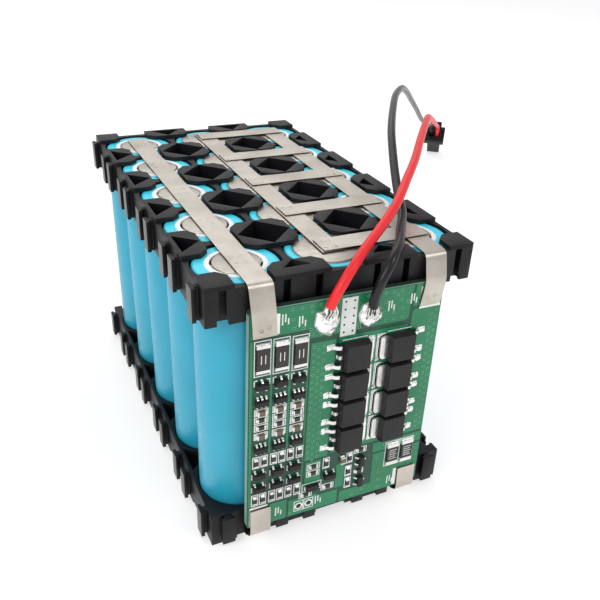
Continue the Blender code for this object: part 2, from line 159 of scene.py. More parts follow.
def lathe(profile, count, loop=False, ripple=None):
    """A solid turned about Z; ripple(radius, z, angle) returns how far a point moves outward."""
    verts, rings = [], []
    for radius, z in profile:
        if radius == 0:
            rings.append([len(verts)] * count)
            verts.append((0, 0, z))
            continue
        rings.append(list(range(len(verts), len(verts) + count)))
        for i in range(count):
            angle = 2 * math.pi * i / count
            r = radius + (ripple(radius, z, angle) if ripple else 0)
            verts.append((r * math.cos(angle), r * math.sin(angle), z))
    return verts, bridge(rings + [rings[0]] if loop else rings)


def rounded(half_x, half_y, radius, steps=6):
    points = []
    for sx, sy, start in ((1, 1, 0), (-1, 1, 90), (-1, -1, 180), (1, -1, 270)):
        for i in range(steps + 1):
            angle = math.radians(start + 90 * i / steps)
            x = sx * (half_x - radius) + radius * math.cos(angle)
            points.append((x, sy * (half_y - radius) + radius * math.sin(angle)))
    return points


def smooth_route(route, step):
    """Evenly spaced points on a smooth curve through the route points."""
    points = [np.array(point, float) for point in route]
    points = [2 * points[0] - points[1]] + points + [2 * points[-1] - points[-2]]
    dense = []
    for a, b, c, d in zip(points, points[1:], points[2:], points[3:]):
        for u in np.linspace(0, 1, 40, endpoint=False):
            cubic = 3 * b - a - 3 * c + d
            dense.append(b + 0.5 * u * (c - a + u * (2 * a - 5 * b + 4 * c - d + u * cubic)))
    dense = np.array(dense + [points[-2]])
    travelled = np.concatenate([[0], np.cumsum(np.linalg.norm(np.diff(dense, axis=0), axis=1))])
    places = np.linspace(0, travelled[-1], max(2, round(travelled[-1] / step) + 1))
    return np.column_stack([np.interp(places, travelled, dense[:, k]) for k in range(3)])


def tube(path, radius, count):
    """A closed tube along a path of points."""
    path = [Vector(p) for p in path]
    rings = []
    side = Vector((0, 0, 1))
    for i, point in enumerate(path):
        along = (path[min(i + 1, len(path) - 1)] - path[max(i - 1, 0)]).normalized()
        if i == 0 and abs(along.z) > 0.9:
            side = Vector((1, 0, 0))
        side = (side - along * side.dot(along)).normalized()
        other = along.cross(side)
        rings.append([point + (side * x + other * y) for x, y in circle(0, 0, radius, count)])
    return stack(rings)


# ------------------------------------------------------------------ materials

class Paint:
    """A Principled material with helpers for its nodes; textures follow object coordinates."""

    def __init__(self, name, colour, metallic, roughness):
        self.material = bpy.data.materials.new(name)
        self.material.use_nodes = True
        self.tree = self.material.node_tree
        self.shader = self.tree.nodes["Principled BSDF"]
        self.shader.inputs["Base Color"].default_value = (*colour, 1)
        self.shader.inputs["Metallic"].default_value = metallic
        self.shader.inputs["Roughness"].default_value = roughness
        self.coords = self.node("TexCoord").outputs["Object"]

    def node(self, kind):
        return self.tree.nodes.new("ShaderNode" + kind)

    def link(self, source, target):
        self.tree.links.new(source, target)

    def noise(self, scale, detail, stretch=(1, 1, 1)):
        mapping = self.node("Mapping")
        mapping.inputs["Scale"].default_value = stretch
        self.link(self.coords, mapping.inputs["Vector"])
        texture = self.node("TexNoise")
        texture.inputs["Scale"].default_value = scale
        texture.inputs["Detail"].default_value = detail
        self.link(mapping.outputs["Vector"], texture.inputs["Vector"])
        return texture.outputs["Fac"]

    def colours(self, fac, *stops):
        ramp = self.node("ValToRGB")
        for element, (position, colour) in zip(ramp.color_ramp.elements, stops):
            element.position = position
            element.color = (*colour, 1)
        self.link(fac, ramp.inputs["Fac"])
        self.link(ramp.outputs["Color"], self.shader.inputs["Base Color"])

    def roughness(self, fac, low, high):
        spread = self.node("MapRange")
        for key, value in (("From Min", 0.3), ("From Max", 0.7), ("To Min", low), ("To Max", high)):
            spread.inputs[key].default_value = value
        self.link(fac, spread.inputs["Value"])
        self.link(spread.outputs["Result"], self.shader.inputs["Roughness"])

    def bump(self, height, strength, distance):
        bump = self.node("Bump")
        bump.inputs["Strength"].default_value = strength
        bump.inputs["Distance"].default_value = distance * MM
        self.link(height, bump.inputs["Height"])
        self.link(bump.outputs["Normal"], self.shader.inputs["Normal"])


def plastic(name, dark, light, roughness, grain, bump=0.25, shine=0.5):
    paint = Paint(name, dark, 0.0, roughness)
    paint.shader.inputs["Specular IOR Level"].default_value = shine
    paint.colours(paint.noise(90, 6), (0.35, dark), (0.68, light))
    fine = paint.noise(grain, 3)
    paint.roughness(fine, roughness - 0.08, roughness + 0.1)
    paint.bump(fine, bump, 0.05)
    return paint.material


def metal(name, light, dull, roughness, grain, bump=0.3, stretch=(1, 1, 1)):
    paint = Paint(name, light, 1.0, roughness)
    paint.colours(paint.noise(140, 5), (0.3, dull), (0.62, light))
    streak = paint.noise(grain, 4, stretch)
    paint.roughness(streak, roughness - 0.08, roughness + 0.12)
    paint.bump(streak, bump, 0.02)
    return paint.material


HOLDER = plastic("holder_plastic", (0.004, 0.004, 0.0055), (0.009, 0.009, 0.0115), 0.46, 2600,
                 shine=0.3)
# A paler copy of the holder plastic for the fins' faces that look left: painted light
HOLDER_PAINTED_LIGHT = plastic("holder_painted_light", (0.10, 0.098, 0.092), (0.17, 0.166, 0.152), 0.5, 2200)
SLEEVE = plastic("sleeve_film", (0.020, 0.355, 0.51), (0.027, 0.39, 0.555), 0.36, 900, 0.08)
# A brighter copy of the film colour for the turned-in ends of the sleeves: painted light
SLEEVE_ENDS_PAINTED_LIGHT = plastic("sleeve_ends_painted_light", (0.045, 0.68, 0.88), (0.075, 0.76, 0.94), 0.34, 900, 0.08)
NICKEL = metal("nickel_strip", (0.62, 0.575, 0.515), (0.50, 0.455, 0.395), 0.36, 900,
               stretch=(8, 1, 1))
NICKEL_EDGE = metal("nickel_edge", (0.24, 0.21, 0.18), (0.08, 0.07, 0.06), 0.5, 1200)
CAN = metal("cell_can", (0.56, 0.525, 0.475), (0.46, 0.43, 0.385), 0.42, 800)
TINNED = metal("tinned_leg", (0.86, 0.85, 0.83), (0.76, 0.75, 0.73), 0.26, 500, 0.02)
SOLDER = metal("solder_metal", (0.97, 0.97, 0.96), (0.84, 0.84, 0.84), 0.26, 1100, 0.06)
BRASS = metal("contact_brass", (0.80, 0.60, 0.28), (0.55, 0.40, 0.18), 0.3, 900)
PAPER = plastic("ring_paper", (0.90, 0.93, 0.94), (0.95, 0.97, 0.97), 0.75, 1800)
RED = plastic("red_insulation", (0.80, 0.010, 0.017), (0.88, 0.016, 0.024), 0.42, 1500, 0.12)
BLACK = plastic("black_insulation", (0.004, 0.004, 0.006), (0.009, 0.009, 0.011), 0.28, 1500, 0.12,
                0.36)
PLUG = plastic("plug_plastic", (0.003, 0.005, 0.005), (0.007, 0.010, 0.010), 0.42, 2200, shine=0.22)
CASE = plastic("fet_epoxy", (0.010, 0.009, 0.010), (0.019, 0.017, 0.018), 0.5, 3200, 0.3, 0.36)
MASK = plastic("solder_mask", (0.004, 0.055, 0.030), (0.006, 0.075, 0.040), 0.33, 1200, 0.1)
COPPER_MASK = plastic("mask_on_copper", (0.010, 0.19, 0.08), (0.016, 0.24, 0.105), 0.3, 1200, 0.1)
VIA = plastic("via_ring", (0.11, 0.37, 0.22), (0.20, 0.48, 0.31), 0.4, 1500, 0.1)
# Near black: painted shade in holes, in the cells' cap recesses and round the transistor tabs
PAINTED_SHADE = plastic("painted_shade", (0.004, 0.010, 0.008), (0.008, 0.016, 0.012), 0.6, 1500, 0.1)
CERAMIC = plastic("chip_ceramic", (0.12, 0.085, 0.055), (0.17, 0.12, 0.08), 0.5, 1500, 0.1)
RESISTOR = plastic("resistor_glaze", (0.020, 0.016, 0.015), (0.034, 0.028, 0.026), 0.35, 1500, 0.1)
# A darker copy of the board's edge colour for its sides: painted shade
BOARD_SIDE_SHADE = plastic("board_side_painted_shade", (0.012, 0.035, 0.022), (0.024, 0.058, 0.038), 0.7, 1800)
# A lighter copy of the board's edge colour for the left side and the top bevel: painted light
BOARD_SIDE_LIGHT = plastic("board_side_painted_light", (0.15, 0.28, 0.24), (0.24, 0.38, 0.32), 0.7, 1800)
FOAM = plastic("pad_foam", (0.70, 0.70, 0.66), (0.82, 0.82, 0.78), 0.9, 2600, 0.6)
WHITE = plastic("silkscreen_ink", (0.72, 0.75, 0.72), (0.86, 0.88, 0.86), 0.6, 2000)


# ------------------------------------------------------------------ camera

def place(point):
    return Vector([MM * (v + g) for v, g in zip(point, GRID)])


CAMERA_AT = (-63.75, -160.23, 128.83)
CAMERA_AZIMUTH, CAMERA_ELEVATION, CAMERA_ROLL = (math.radians(a) for a in (-26.877, 29.993, 3.010))
CAMERA_LENS = 42.19
CAMERA_SHIFT = (-0.0169, 0.0165)


def build_camera():
    level = math.cos(CAMERA_ELEVATION)
    back = Vector((math.sin(CAMERA_AZIMUTH) * level, -math.cos(CAMERA_AZIMUTH) * level,
                   math.sin(CAMERA_ELEVATION)))
    right = Vector((0, 0, 1)).cross(back).normalized()
    up = back.cross(right)
    c, d = math.cos(CAMERA_ROLL), math.sin(CAMERA_ROLL)
    data = bpy.data.cameras.new("view")
    data.sensor_width = 36.0
    data.lens = CAMERA_LENS
    data.shift_x, data.shift_y = CAMERA_SHIFT
    data.clip_start = 0.01
    camera = bpy.data.objects.new("view", data)
    bpy.context.scene.collection.objects.link(camera)
    matrix = Matrix((right * c + up * d, up * c - right * d, back)).transposed().to_4x4()
    matrix.translation = place(CAMERA_AT)
    camera.matrix_world = matrix
    bpy.context.scene.camera = camera


build_camera()

# ------------------------------------------------------------------ leads and plug

LEAD_R = 1.1
# Points along each lead, from its joint on the board to just short of the plug
RED_ROUTE = (
    (-5.9, -54.8, 60.3), (-5.2, -55.1, 62.4), (-3.6, -55.0, 65.1), (-0.8, -53.8, 67.9),
    (4.0, -50.0, 69.6), (10.5, -44.9, 71.2), (17.2, -39.3, 73.2), (25.3, -30.5, 75.2),
    (32.9, -21.7, 76.2), (42.3, -9.5, 76.5), (50.0, 0.5, 76.0), (59.0, 12.3, 74.5),
    (70.2, 27.5, 71.0), (87.7, 50.7, 63.5), (109.0, 78.4, 54.0), (134.2, 111.4, 42.5),
    (159.0, 143.7, 31.0),
)
BLACK_ROUTE = (
    (4.2, -54.6, 58.2), (4.1, -55.0, 60.6), (5.0, -55.4, 64.3), (6.6, -55.0, 66.8),
    (8.5, -53.6, 68.6), (11.9, -49.9, 69.1), (16.8, -42.6, 69.4), (20.2, -37.4, 70.0),
    (24.3, -28.0, 72.5), (29.1, -17.7, 76.0), (34.8, -6.8, 79.2), (43.8, 7.5, 80.6),
    (54.0, 22.6, 80.2), (66.2, 38.3, 78.0), (80.0, 56.0, 72.0), (95.0, 75.0, 64.0),
    (112.3, 95.7, 54.0), (130.7, 117.9, 43.0), (145.5, 136.3, 35.5), (158.5, 150.5, 29.0),
    (168.5, 162.5, 25.0),
)
PLUG_REAR = (184.0, 178.5, 14.1)
PLUG_YAW, PLUG_PITCH = math.radians(51.5), math.radians(-42.0)
# Distance between the two wires, and how far they go into the plug
PLUG_WIRES, WIRE_IN = 3.4, 3.5
# Length, width and height of the plug's wide body, its narrow front part and its latch, and how
# far the body reaches below the wires
PLUG_BODY = (4.5, 11.6, 9.2)
PLUG_NOSE = (13.5, 7.2, 5.4)
PLUG_LATCH = (4.0, 7.0, 3.4)
PLUG_DROP = 4.1


def plug_matrix():
    matrix = Matrix.Rotation(PLUG_YAW, 4, "Z") @ Matrix.Rotation(-PLUG_PITCH, 4, "Y")
    matrix.translation = PLUG_REAR
    return matrix


def plug_point(x, y):
    return tuple(plug_matrix() @ Vector((x, y, 0)))


def build_lead(name, route, across, material):
    ends = (plug_point(-9.0, across), plug_point(-4.0, across), plug_point(WIRE_IN, across))
    path = smooth_route(route + ends, 2.0)
    curve = bpy.data.curves.new(name + "_cable", "CURVE")
    curve.dimensions = "3D"
    curve.bevel_depth = (LEAD_R - 0.04) * MM
    curve.bevel_resolution = 6
    curve.use_fill_caps = True
    spline = curve.splines.new("POLY")
    spline.points.add(len(path) - 1)
    for point, place_mm in zip(spline.points, path):
        point.co = (*place(place_mm), 1)
    spline.use_smooth = True
    curve.materials.append(material)
    lead = bpy.data.objects.new(name + "_cable", curve)
    bpy.context.scene.collection.objects.link(lead)
    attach(lead, "root")
    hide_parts(name)
    length = MM * float(np.linalg.norm(np.diff(path, axis=0), axis=1).sum())
    return lead, place(path[0]), length


def carve(name, block, tools, materials, bevel):
    """A block cut by, or joined with, other solids in turn; returns the finished mesh."""
    base = Shape()
    base.add(block)
    obj = base.make(name, materials, None, smooth=False, ride=False)
    cutters = []
    for operation, shape in tools:
        cutter = shape.make(name + "_tool", [], None, smooth=False, ride=False)
        modifier = obj.modifiers.new("tool", "BOOLEAN")
        modifier.operation = operation
        modifier.object = cutter
        cutters.append(cutter)
    soften(obj, bevel)
    graph = bpy.context.evaluated_depsgraph_get()
    mesh = bpy.data.meshes.new_from_object(obj.evaluated_get(graph))
    for cutter in cutters + [obj]:
        bpy.data.objects.remove(cutter)
    mesh.shade_smooth()
    mesh.set_sharp_from_angle(angle=math.radians(SHARP))
    return mesh


def add_mesh(name, mesh):
    obj = bpy.data.objects.new(name, mesh)
    bpy.context.scene.collection.objects.link(obj)
    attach(obj, "root")
    return obj


def build_plug():
    at = plug_matrix()
    length, width, height = PLUG_BODY
    reach, nose_width, nose_height = PLUG_NOSE
    latch_end, latch_width, latch_height = PLUG_LATCH
    top, end = height - PLUG_DROP, length + reach
    nose, latch, bores, slots = (Shape(at) for _ in range(4))
    nose.bar(length - 1, end, -nose_width / 2, nose_width / 2, -nose_height / 2, nose_height / 2)
    latch.bar(0.2, latch_end, -latch_width / 2, latch_width / 2, top - 0.5, top + latch_height,
              draft=0.15)
    for y in (-PLUG_WIRES / 2, PLUG_WIRES / 2):
        bores.bar(-1, end + 1, y - 1.4, y + 1.4, -1.4, 1.4)
    for y in (-4.6, 4.6):
        slots.bar(-0.5, 1.2, y - 0.45, y + 0.45, -2.6, 2.6)
    verts, faces = box((0, -width / 2, -PLUG_DROP), (length, width / 2, top))
    block = [tuple(at @ Vector(v)) for v in verts], faces
    tools = (("UNION", nose), ("UNION", latch), ("DIFFERENCE", bores), ("DIFFERENCE", slots))
    housing = add_mesh("plug_shell", carve("plug_shell", block, tools, [PLUG], 0.25))
    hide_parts("plug_housing")
    for number in (1, 2):
        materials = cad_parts[f"plug_contact_{number}"].data.materials
        materials.clear()
        materials.append(BRASS)
    return housing


def build_leads():
    plug = build_plug()
    red = build_lead("lead_red", RED_ROUTE, -PLUG_WIRES / 2, RED)
    black = build_lead("lead_black", BLACK_ROUTE, PLUG_WIRES / 2, BLACK)


build_leads()

# ------------------------------------------------------------------ holders

HALF_X, HALF_Y = 30.45, 51.0
HOLDER_LOW, WEB_TOP, BOSS_LOW = 58.4, 66.1, 65.9
BORE_R = 9.45
BOSS_HALF, BOSS_CHAMFER, HOLE_HALF = 6.3, 2.1, 6.1
EDGE_BOSS, EDGE_CHAMFER = 6.1, 1.9
# Three-cornered holes along the sides: half width, and depths of the wide side and the tip
SLOT_SIDE_HOLE = (3.1, 2.95, 6.0)
FIN_SIDE_HOLE = (4.2, 0.9, 5.85)
CLIP_OFFSET = 3.5
# Half outlines of a clip's slot, of the notch at the slot's mouth and of the fin that fits it
SLOT = ((0.8, -0.5), (0.8, 0.7), (1.6, 0.7), (1.6, 1.9))
NOTCH = ((1.2, -0.5), (1.2, 2.0))
NOTCH_HIGH = 1.4
FIN = ((0.65, 0.4), (0.65, -0.8), (1.5, -0.8), (1.5, -1.65))
FIN_LOW, CLIP_TOP = 58.6, 66.0


def on_side(side, u, depth):
    """A point at u along a side of the holder and depth in from it."""
    points = {
        "front": (u, -HALF_Y + depth),
        "back": (u, HALF_Y - depth),
        "left": (-HALF_X + depth, u),
        "right": (HALF_X - depth, u),
    }
    return points[side]


def boundaries(side):
    """Places along a side that lie between two cells."""
    if side in ("front", "back"):
        return (-PITCH / 2, PITCH / 2)
    return tuple(PITCH * i for i in (-1.5, -0.5, 0.5, 1.5))


def clips(side):
    ends = (1.5 if side in ("front", "back") else 2.5) * PITCH
    places = [-ends + CLIP_OFFSET, ends - CLIP_OFFSET]
    for u in boundaries(side):
        places += [u - CLIP_OFFSET, u + CLIP_OFFSET]
    return places


def boss_outlines():
    half, cut, skin = BOSS_HALF, BOSS_CHAMFER, 0.02
    full = [(half, half - cut), (half - cut, half), (cut - half, half), (-half, half - cut)]
    full += [(-x, -y) for x, y in full]
    outlines = [[(x + dx, y + dy) for dx, dy in full]
                for x in boundaries("front") for y in boundaries("left")]
    half, cut = EDGE_BOSS, EDGE_CHAMFER
    edge = [(-half, skin), (half, skin), (half, half - cut), (half - cut, half)]
    edge += [(cut - half, half), (-half, half - cut)]
    for side in ("front", "back", "left", "right"):
        for u in boundaries(side):
            outlines.append([on_side(side, u + du, depth) for du, depth in edge])
    corner = [(skin, skin), (half, skin), (half, half - cut), (half - cut, half), (skin, half)]
    for sx in (-1, 1):
        for sy in (-1, 1):
            outlines.append([(sx * (HALF_X - dx), sy * (HALF_Y - dy)) for dx, dy in corner])
    return outlines


def hole_outlines():
    size = HOLE_HALF
    outlines = [[(x + size, y), (x, y + size), (x - size, y), (x, y - size)]
                for x in boundaries("front") for y in boundaries("left")]
    for side in ("front", "back", "left", "right"):
        half, wall, tip = SLOT_SIDE_HOLE if side in ("front", "right") else FIN_SIDE_HOLE
        shape = ((-half, wall), (half, wall), (0, tip))
        for u in boundaries(side):
            outlines.append([on_side(side, u + du, depth) for du, depth in shape])
    return outlines


def build_holders():
    bores, bosses, holes, slots, notches, fins = (Shape() for _ in range(6))
    for _, column, _ in COLUMNS:
        for row in ROWS:
            bore = circle(column * PITCH, row * PITCH, BORE_R, 64)
            bores.add(prism(bore, HOLDER_LOW - 1, WEB_TOP + 1))
    for outline in boss_outlines():
        bosses.add(prism(outline, BOSS_LOW, HEIGHT))
    for outline in hole_outlines():
        holes.add(prism(outline, HOLDER_LOW - 1, HEIGHT + 1))
    for side in ("front", "right"):
        for u in clips(side):
            slot, notch = ([on_side(side, u + a, b) for a, b in mirrored(half)]
                           for half in (SLOT, NOTCH))
            slots.add(prism(slot, HOLDER_LOW - 1, CLIP_TOP))
            notches.add(prism(notch, HOLDER_LOW - 1, HOLDER_LOW + NOTCH_HIGH))
    for side in ("back", "left"):
        for u in clips(side):
            fins.add(prism([on_side(side, u + a, b) for a, b in mirrored(FIN)], FIN_LOW, CLIP_TOP))
    block = box((-HALF_X, -HALF_Y, HOLDER_LOW), (HALF_X, HALF_Y, WEB_TOP))
    tools = (("DIFFERENCE", bores), ("UNION", bosses), ("DIFFERENCE", holes), ("DIFFERENCE", slots),
             ("DIFFERENCE", notches), ("UNION", fins))
    mesh = carve("holder", block, tools, [HOLDER, HOLDER_PAINTED_LIGHT], 0.22)
    # The fins' outer faces on the left get a paler copy of the plastic: painted light from the left
    for face in mesh.polygons:
        if face.center.x < MM * (GRID[0] - HALF_X - 1.6) and face.normal.x < -0.9:
            face.material_index = 1
    top = add_mesh("holder_top", mesh)
    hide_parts("top_cell_holder")
    turned = mesh.copy()
    to_grid = Matrix.Translation(place((0, 0, 0)))
    flip = Matrix.Translation((0, 0, HEIGHT * MM)) @ Matrix.Rotation(math.pi, 4, "X")
    turned.transform(to_grid @ flip @ to_grid.inverted())
    bottom = add_mesh("holder_bottom", turned)
    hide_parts("bottom_cell_holder")


build_holders()

# ------------------------------------------------------------------ cells

CELL_SIDES, WRAP_SIDES = 48, 64
# Stretches of WRAP_PROFILE where the film turns in over an end; they get a brighter copy of the
# film colour, painted light
LIP_RINGS = (0, 1, 2, 7, 8, 9, 10)
# Half profiles (radius, height) of a cell that stands cap up
CAN_PROFILE = (
    (0, 0.9), (6.85, 0.9), (7.05, 1.0), (7.1, 1.2), (7.3, 1.5), (8.2, 1.6), (8.55, 2.0),
    (8.55, 65.0), (8.2, 65.5), (5.45, 65.5), (5.42, 65.4), (5.4, 63.9), (0, 63.9),
)
CAP_PROFILE = (
    (0, 65.45), (4.8, 65.45), (4.98, 65.55), (5.0, 65.85), (4.9, 66.0), (4.7, 66.05), (0, 66.1),
)
RING_PROFILE = (
    (5.44, 65.52), (6.5, 65.52), (6.5, 65.86), (6.35, 65.97), (5.55, 66.02), (5.44, 65.97),
)
WRAP_PROFILE = (
    (7.2, 1.45), (7.6, 1.2), (8.5, 1.15), (8.95, 1.4), (9.12, 1.9), (9.12, 33.5), (9.12, 65.1),
    (8.97, 65.6), (8.5, 65.82), (7.6, 65.85), (6.35, 65.8), (6.35, 65.6), (8.4, 65.55), (8.8, 65.1),
    (8.8, 1.9), (8.4, 1.6), (7.2, 1.6),
)


def gathered(seed):
    """The uneven edge of shrunk film, which moves only where it turns in over the cell's ends."""
    def ripple(radius, z, angle):
        if radius > 8.0:
            return 0.0
        spot = Vector((1.6 * math.cos(angle), 1.6 * math.sin(angle), seed + 0.2 * z))
        return 0.16 * noise.noise(spot)
    return ripple


def build_cell(name, at, seed):
    can = Shape(at)
    can.add(lathe(CAN_PROFILE, CELL_SIDES))
    # The recess that the cap stands in is painted dark: painted shade
    can.paints[-2 * CELL_SIDES:] = [1] * 2 * CELL_SIDES
    can.add(lathe(CAP_PROFILE, CELL_SIDES))
    for k in range(4):
        stem = Matrix.Rotation(math.radians(90 * k + 20), 4, "Z")
        can.add(box((4.1, -1.3, 63.8), (5.42, 1.3, 65.6)), 0, at @ stem)
    cell = can.make("can_" + name, [CAN, PAINTED_SHADE], "can")
    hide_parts("cell_" + name)
    ring = Shape(at)
    ring.add(lathe(RING_PROFILE, CELL_SIDES, loop=True))
    ring.make("ring_" + name, [PAPER], "foam")
    film = Shape(at)
    film.add(lathe(WRAP_PROFILE, WRAP_SIDES, loop=True, ripple=gathered(seed)))
    # The turned-in ends get the brighter copy of the film colour: painted light
    for lip in LIP_RINGS:
        film.paints[WRAP_SIDES * lip:WRAP_SIDES * (lip + 1)] = [1] * WRAP_SIDES
    wrap = film.make("wrap_" + name, [SLEEVE, SLEEVE_ENDS_PAINTED_LIGHT], "sleeve", sharp=60)
    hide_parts("sleeve_" + name)


def build_cells():
    flip = Matrix.Translation((0, 0, HEIGHT)) @ Matrix.Rotation(math.pi, 4, "X")
    for label, column, cap_up in COLUMNS:
        for number, row in enumerate(ROWS, 1):
            at = Matrix.Translation((column * PITCH, row * PITCH, 0))
            at = at @ Matrix.Rotation(0.7 * number + column, 4, "Z")
            at = at if cap_up else at @ flip
            build_cell(f"{label}_{number}", at, 17.0 * column + 3.1 * row)


build_cells()

# ------------------------------------------------------------------ strips

BOARD_CENTRE = (-0.21, -53.60, 33.01)
BOARD_LEAN = math.radians(1.78)
BOARD_TURN = math.radians(1.185)


def board_matrix():
    up = Vector((0, math.sin(BOARD_LEAN), math.cos(BOARD_LEAN)))
    out = Vector((0, -math.cos(BOARD_LEAN), math.sin(BOARD_LEAN)))
    turn = Matrix.Rotation(BOARD_TURN, 3, Vector((0, 1, 0)))
    axes = [turn @ Vector((1, 0, 0)), turn @ up, turn @ out]
    matrix = Matrix(axes).transposed().to_4x4()
    matrix.translation = BOARD_CENTRE
    return matrix


BOARD = board_matrix()
STRIP = 0.2
# Heights of the strips' middle planes, and how far in front of the board a tab's middle lies
RAIL_Z, LINK_Z, LOW_Z = 66.4, 66.66, 0.6
TAB_CLEAR = 0.4
# Heights on the board where the strips from the top and from below meet it
MEET_HIGH, MEET_LOW = 27.5, -29.4
WIDE, NARROW = 5.2, 4.9


def to_board(point):
    """A grid point in board axes."""
    return BOARD.inverted() @ Vector(point)


def tab_point(x, t):
    """A point in the middle of a tab's thickness, at height t on the board."""
    point = BOARD @ Vector((0, t, TAB_CLEAR))
    return x, point.y, point.z


def rounded_path(path, radius=1.3, steps=5):
    """Points (x, y, z, width) with each inner corner turned into a short arc."""
    points = [np.array(p, float) for p in path]
    result = [points[0]]
    for before, here, after in zip(points, points[1:], points[2:]):
        ends = []
        for way in (before - here, after - here):
            length = np.linalg.norm(way[:3])
            ends.append(here + way / length * min(radius, 0.45 * length))
        for u in np.linspace(0, 1, steps + 1):
            result.append((1 - u) ** 2 * ends[0] + 2 * u * (1 - u) * here + u * u * ends[1])
    return result + [points[-1]]


def dense_path(path, step=1.0):
    """Splits the long straight runs of a path."""
    result = [path[0]]
    for a, b in zip(path, path[1:]):
        count = max(1, int(np.linalg.norm((b - a)[:3]) / step))
        result += [a + (b - a) * k / count for k in range(1, count + 1)]
    return result


def ribbon(path, dents=(), thickness=STRIP, columns=8, wave=0.03, seed=0.0):
    """Strip along (x, y, z, width) points; each dent (x, y, z, radius, depth) is a weld mark.

    Returns its points, its broad faces and its cut edges.
    """
    verts, faces, edges = [], [], []
    spots = [(Vector(d[:3]), d[3], d[4]) for d in dents]
    line = [Vector((0, y, z)) for _, y, z, _ in path]
    out = Vector((0, 0, 1))
    for i, (x, y, z, width) in enumerate(path):
        before, after = line[i] - line[max(i - 1, 0)], line[min(i + 1, len(line) - 1)] - line[i]
        along = (before.normalized() + after.normalized()).normalized()
        normal = Vector((0, -along.z, along.y))
        out = normal if normal.dot(out) > 0 else -normal
        for face in (1, -1):
            for k in range(columns + 1):
                centre = Vector((x + width * (k / columns - 0.5), y, z))
                sink = sum(d * math.exp(-((centre - c).length / r) ** 2) for c, r, d in spots)
                swell = wave * noise.noise(Vector((centre.x * 0.25, y * 0.12 + seed, z * 0.12)))
                centre += out * (face * thickness / 2 + swell - sink)
                verts.append(tuple(centre))
    under = columns + 1
    stride = 2 * under
    for a in range(0, (len(path) - 1) * stride, stride):
        b = a + stride
        for k in range(columns):
            faces.append([a + k, a + k + 1, b + k + 1, b + k])
            faces.append([a + under + k + 1, a + under + k, b + under + k, b + under + k + 1])
        edges.append([a, b, b + under, a + under])
        edges.append([a + columns, a + under + columns, b + under + columns, b + columns])
    for a in (0, (len(path) - 1) * stride):
        edges += [[a + k, a + k + 1, a + under + k + 1, a + under + k] for k in range(columns)]
    return verts, faces, edges


def add_ribbon(shape, strip):
    """Adds a ribbon with its cut edges in the second material."""
    verts, faces, edges = strip
    start = len(shape.verts)
    shape.add((verts, faces))
    shape.faces += [[start + i for i in edge] for edge in edges]
    shape.paints += [1] * len(edges)


def add_welded(shape, path, dents, tab_dents=(), seed=0.0):
    """A strip with a pit in the middle of every weld mark."""
    add_ribbon(shape, ribbon(dense_path(path), dents + list(tab_dents), seed=seed))
    add_craters(shape, dents)
    for *point, radius, depth in tab_dents:
        s, t, _ = to_board(point)
        add_craters(shape, [(s, t, TAB_CLEAR, radius, depth)], BOARD)


CRATER_PROFILE = (
    (0, -0.05), (0.13, -0.045), (0.2, 0.03), (0.27, 0.045), (0.36, 0.0), (0.36, -0.12), (0, -0.12),
)
CRATER_SIDES = 10


def add_craters(shape, dents, at=None):
    """The burnt pit in the middle of every weld mark, with its raised rim."""
    for x, y, z, radius, depth in dents:
        size = radius / 0.38 * (0.85 + 0.3 * noise.noise(Vector((x, y, 3.0))))
        up = math.copysign(1, depth)
        put = Matrix.Translation((x, y, z + up * STRIP / 2 - depth * 0.55))
        put = put @ Matrix.Diagonal((size, size, up, 1))
        start = len(shape.paints)
        shape.add(lathe(CRATER_PROFILE, CRATER_SIDES), 0, at @ put if at else put)
        shape.paints[start:start + 2 * CRATER_SIDES] = [1] * 2 * CRATER_SIDES


def weld_marks(x, y, z, seed, up=1):
    """Two pairs of small pits left by the welding electrodes over one cell."""
    marks = []
    for k, (dx, dy) in enumerate(((-1.1, -1.6), (1.1, -1.5), (-1.0, 1.6), (1.1, 1.7))):
        wobble = noise.noise_vector(Vector((x * 0.37 + k, y * 0.41, seed)))
        marks.append((x + dx + 0.4 * wobble.x, y + dy + 0.4 * wobble.y, z, 0.66, 0.09 * up))
    return marks


def column_marks(x, z, seed, up=1):
    """The weld marks on all the cells of a column; up is -1 on the underside."""
    return [mark for row in ROWS for mark in weld_marks(x, row * PITCH, z, seed, up)]


def tab_marks(x, t):
    """The two pits near the end of a tab."""
    return [(*tab_point(x + 0.8 * k, t + 0.25 * k), 0.85, 0.1) for k in (-1, 1)]


def top_tab(x_top, x_end, end):
    """The bend over the front edge, and the tab that hangs down to height end on the board."""
    x_meet = x_top + 0.2 * (x_end - x_top)
    return [(x_top, -51.4, RAIL_Z, WIDE), (*tab_point(x_meet, MEET_HIGH), WIDE),
            (*tab_point(x_end, end), WIDE)]


def bottom_tab(x_under, x_end, end):
    """The bend under the front edge, and the tab that rises to height end on the board."""
    return [(x_under, -51.2, LOW_Z, NARROW), (*tab_point(x_end, MEET_LOW), NARROW),
            (*tab_point(x_end, end), NARROW)]


def finish_strip(shape, name, node):
    strip = shape.make(name, [NICKEL, NICKEL_EDGE], "nickel", sharp=50)
    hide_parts(node)


def add_strip(name, node, path, dents, tab_dents=(), seed=0.0):
    shape = Shape()
    add_welded(shape, path, dents, tab_dents, seed)
    finish_strip(shape, name, node)


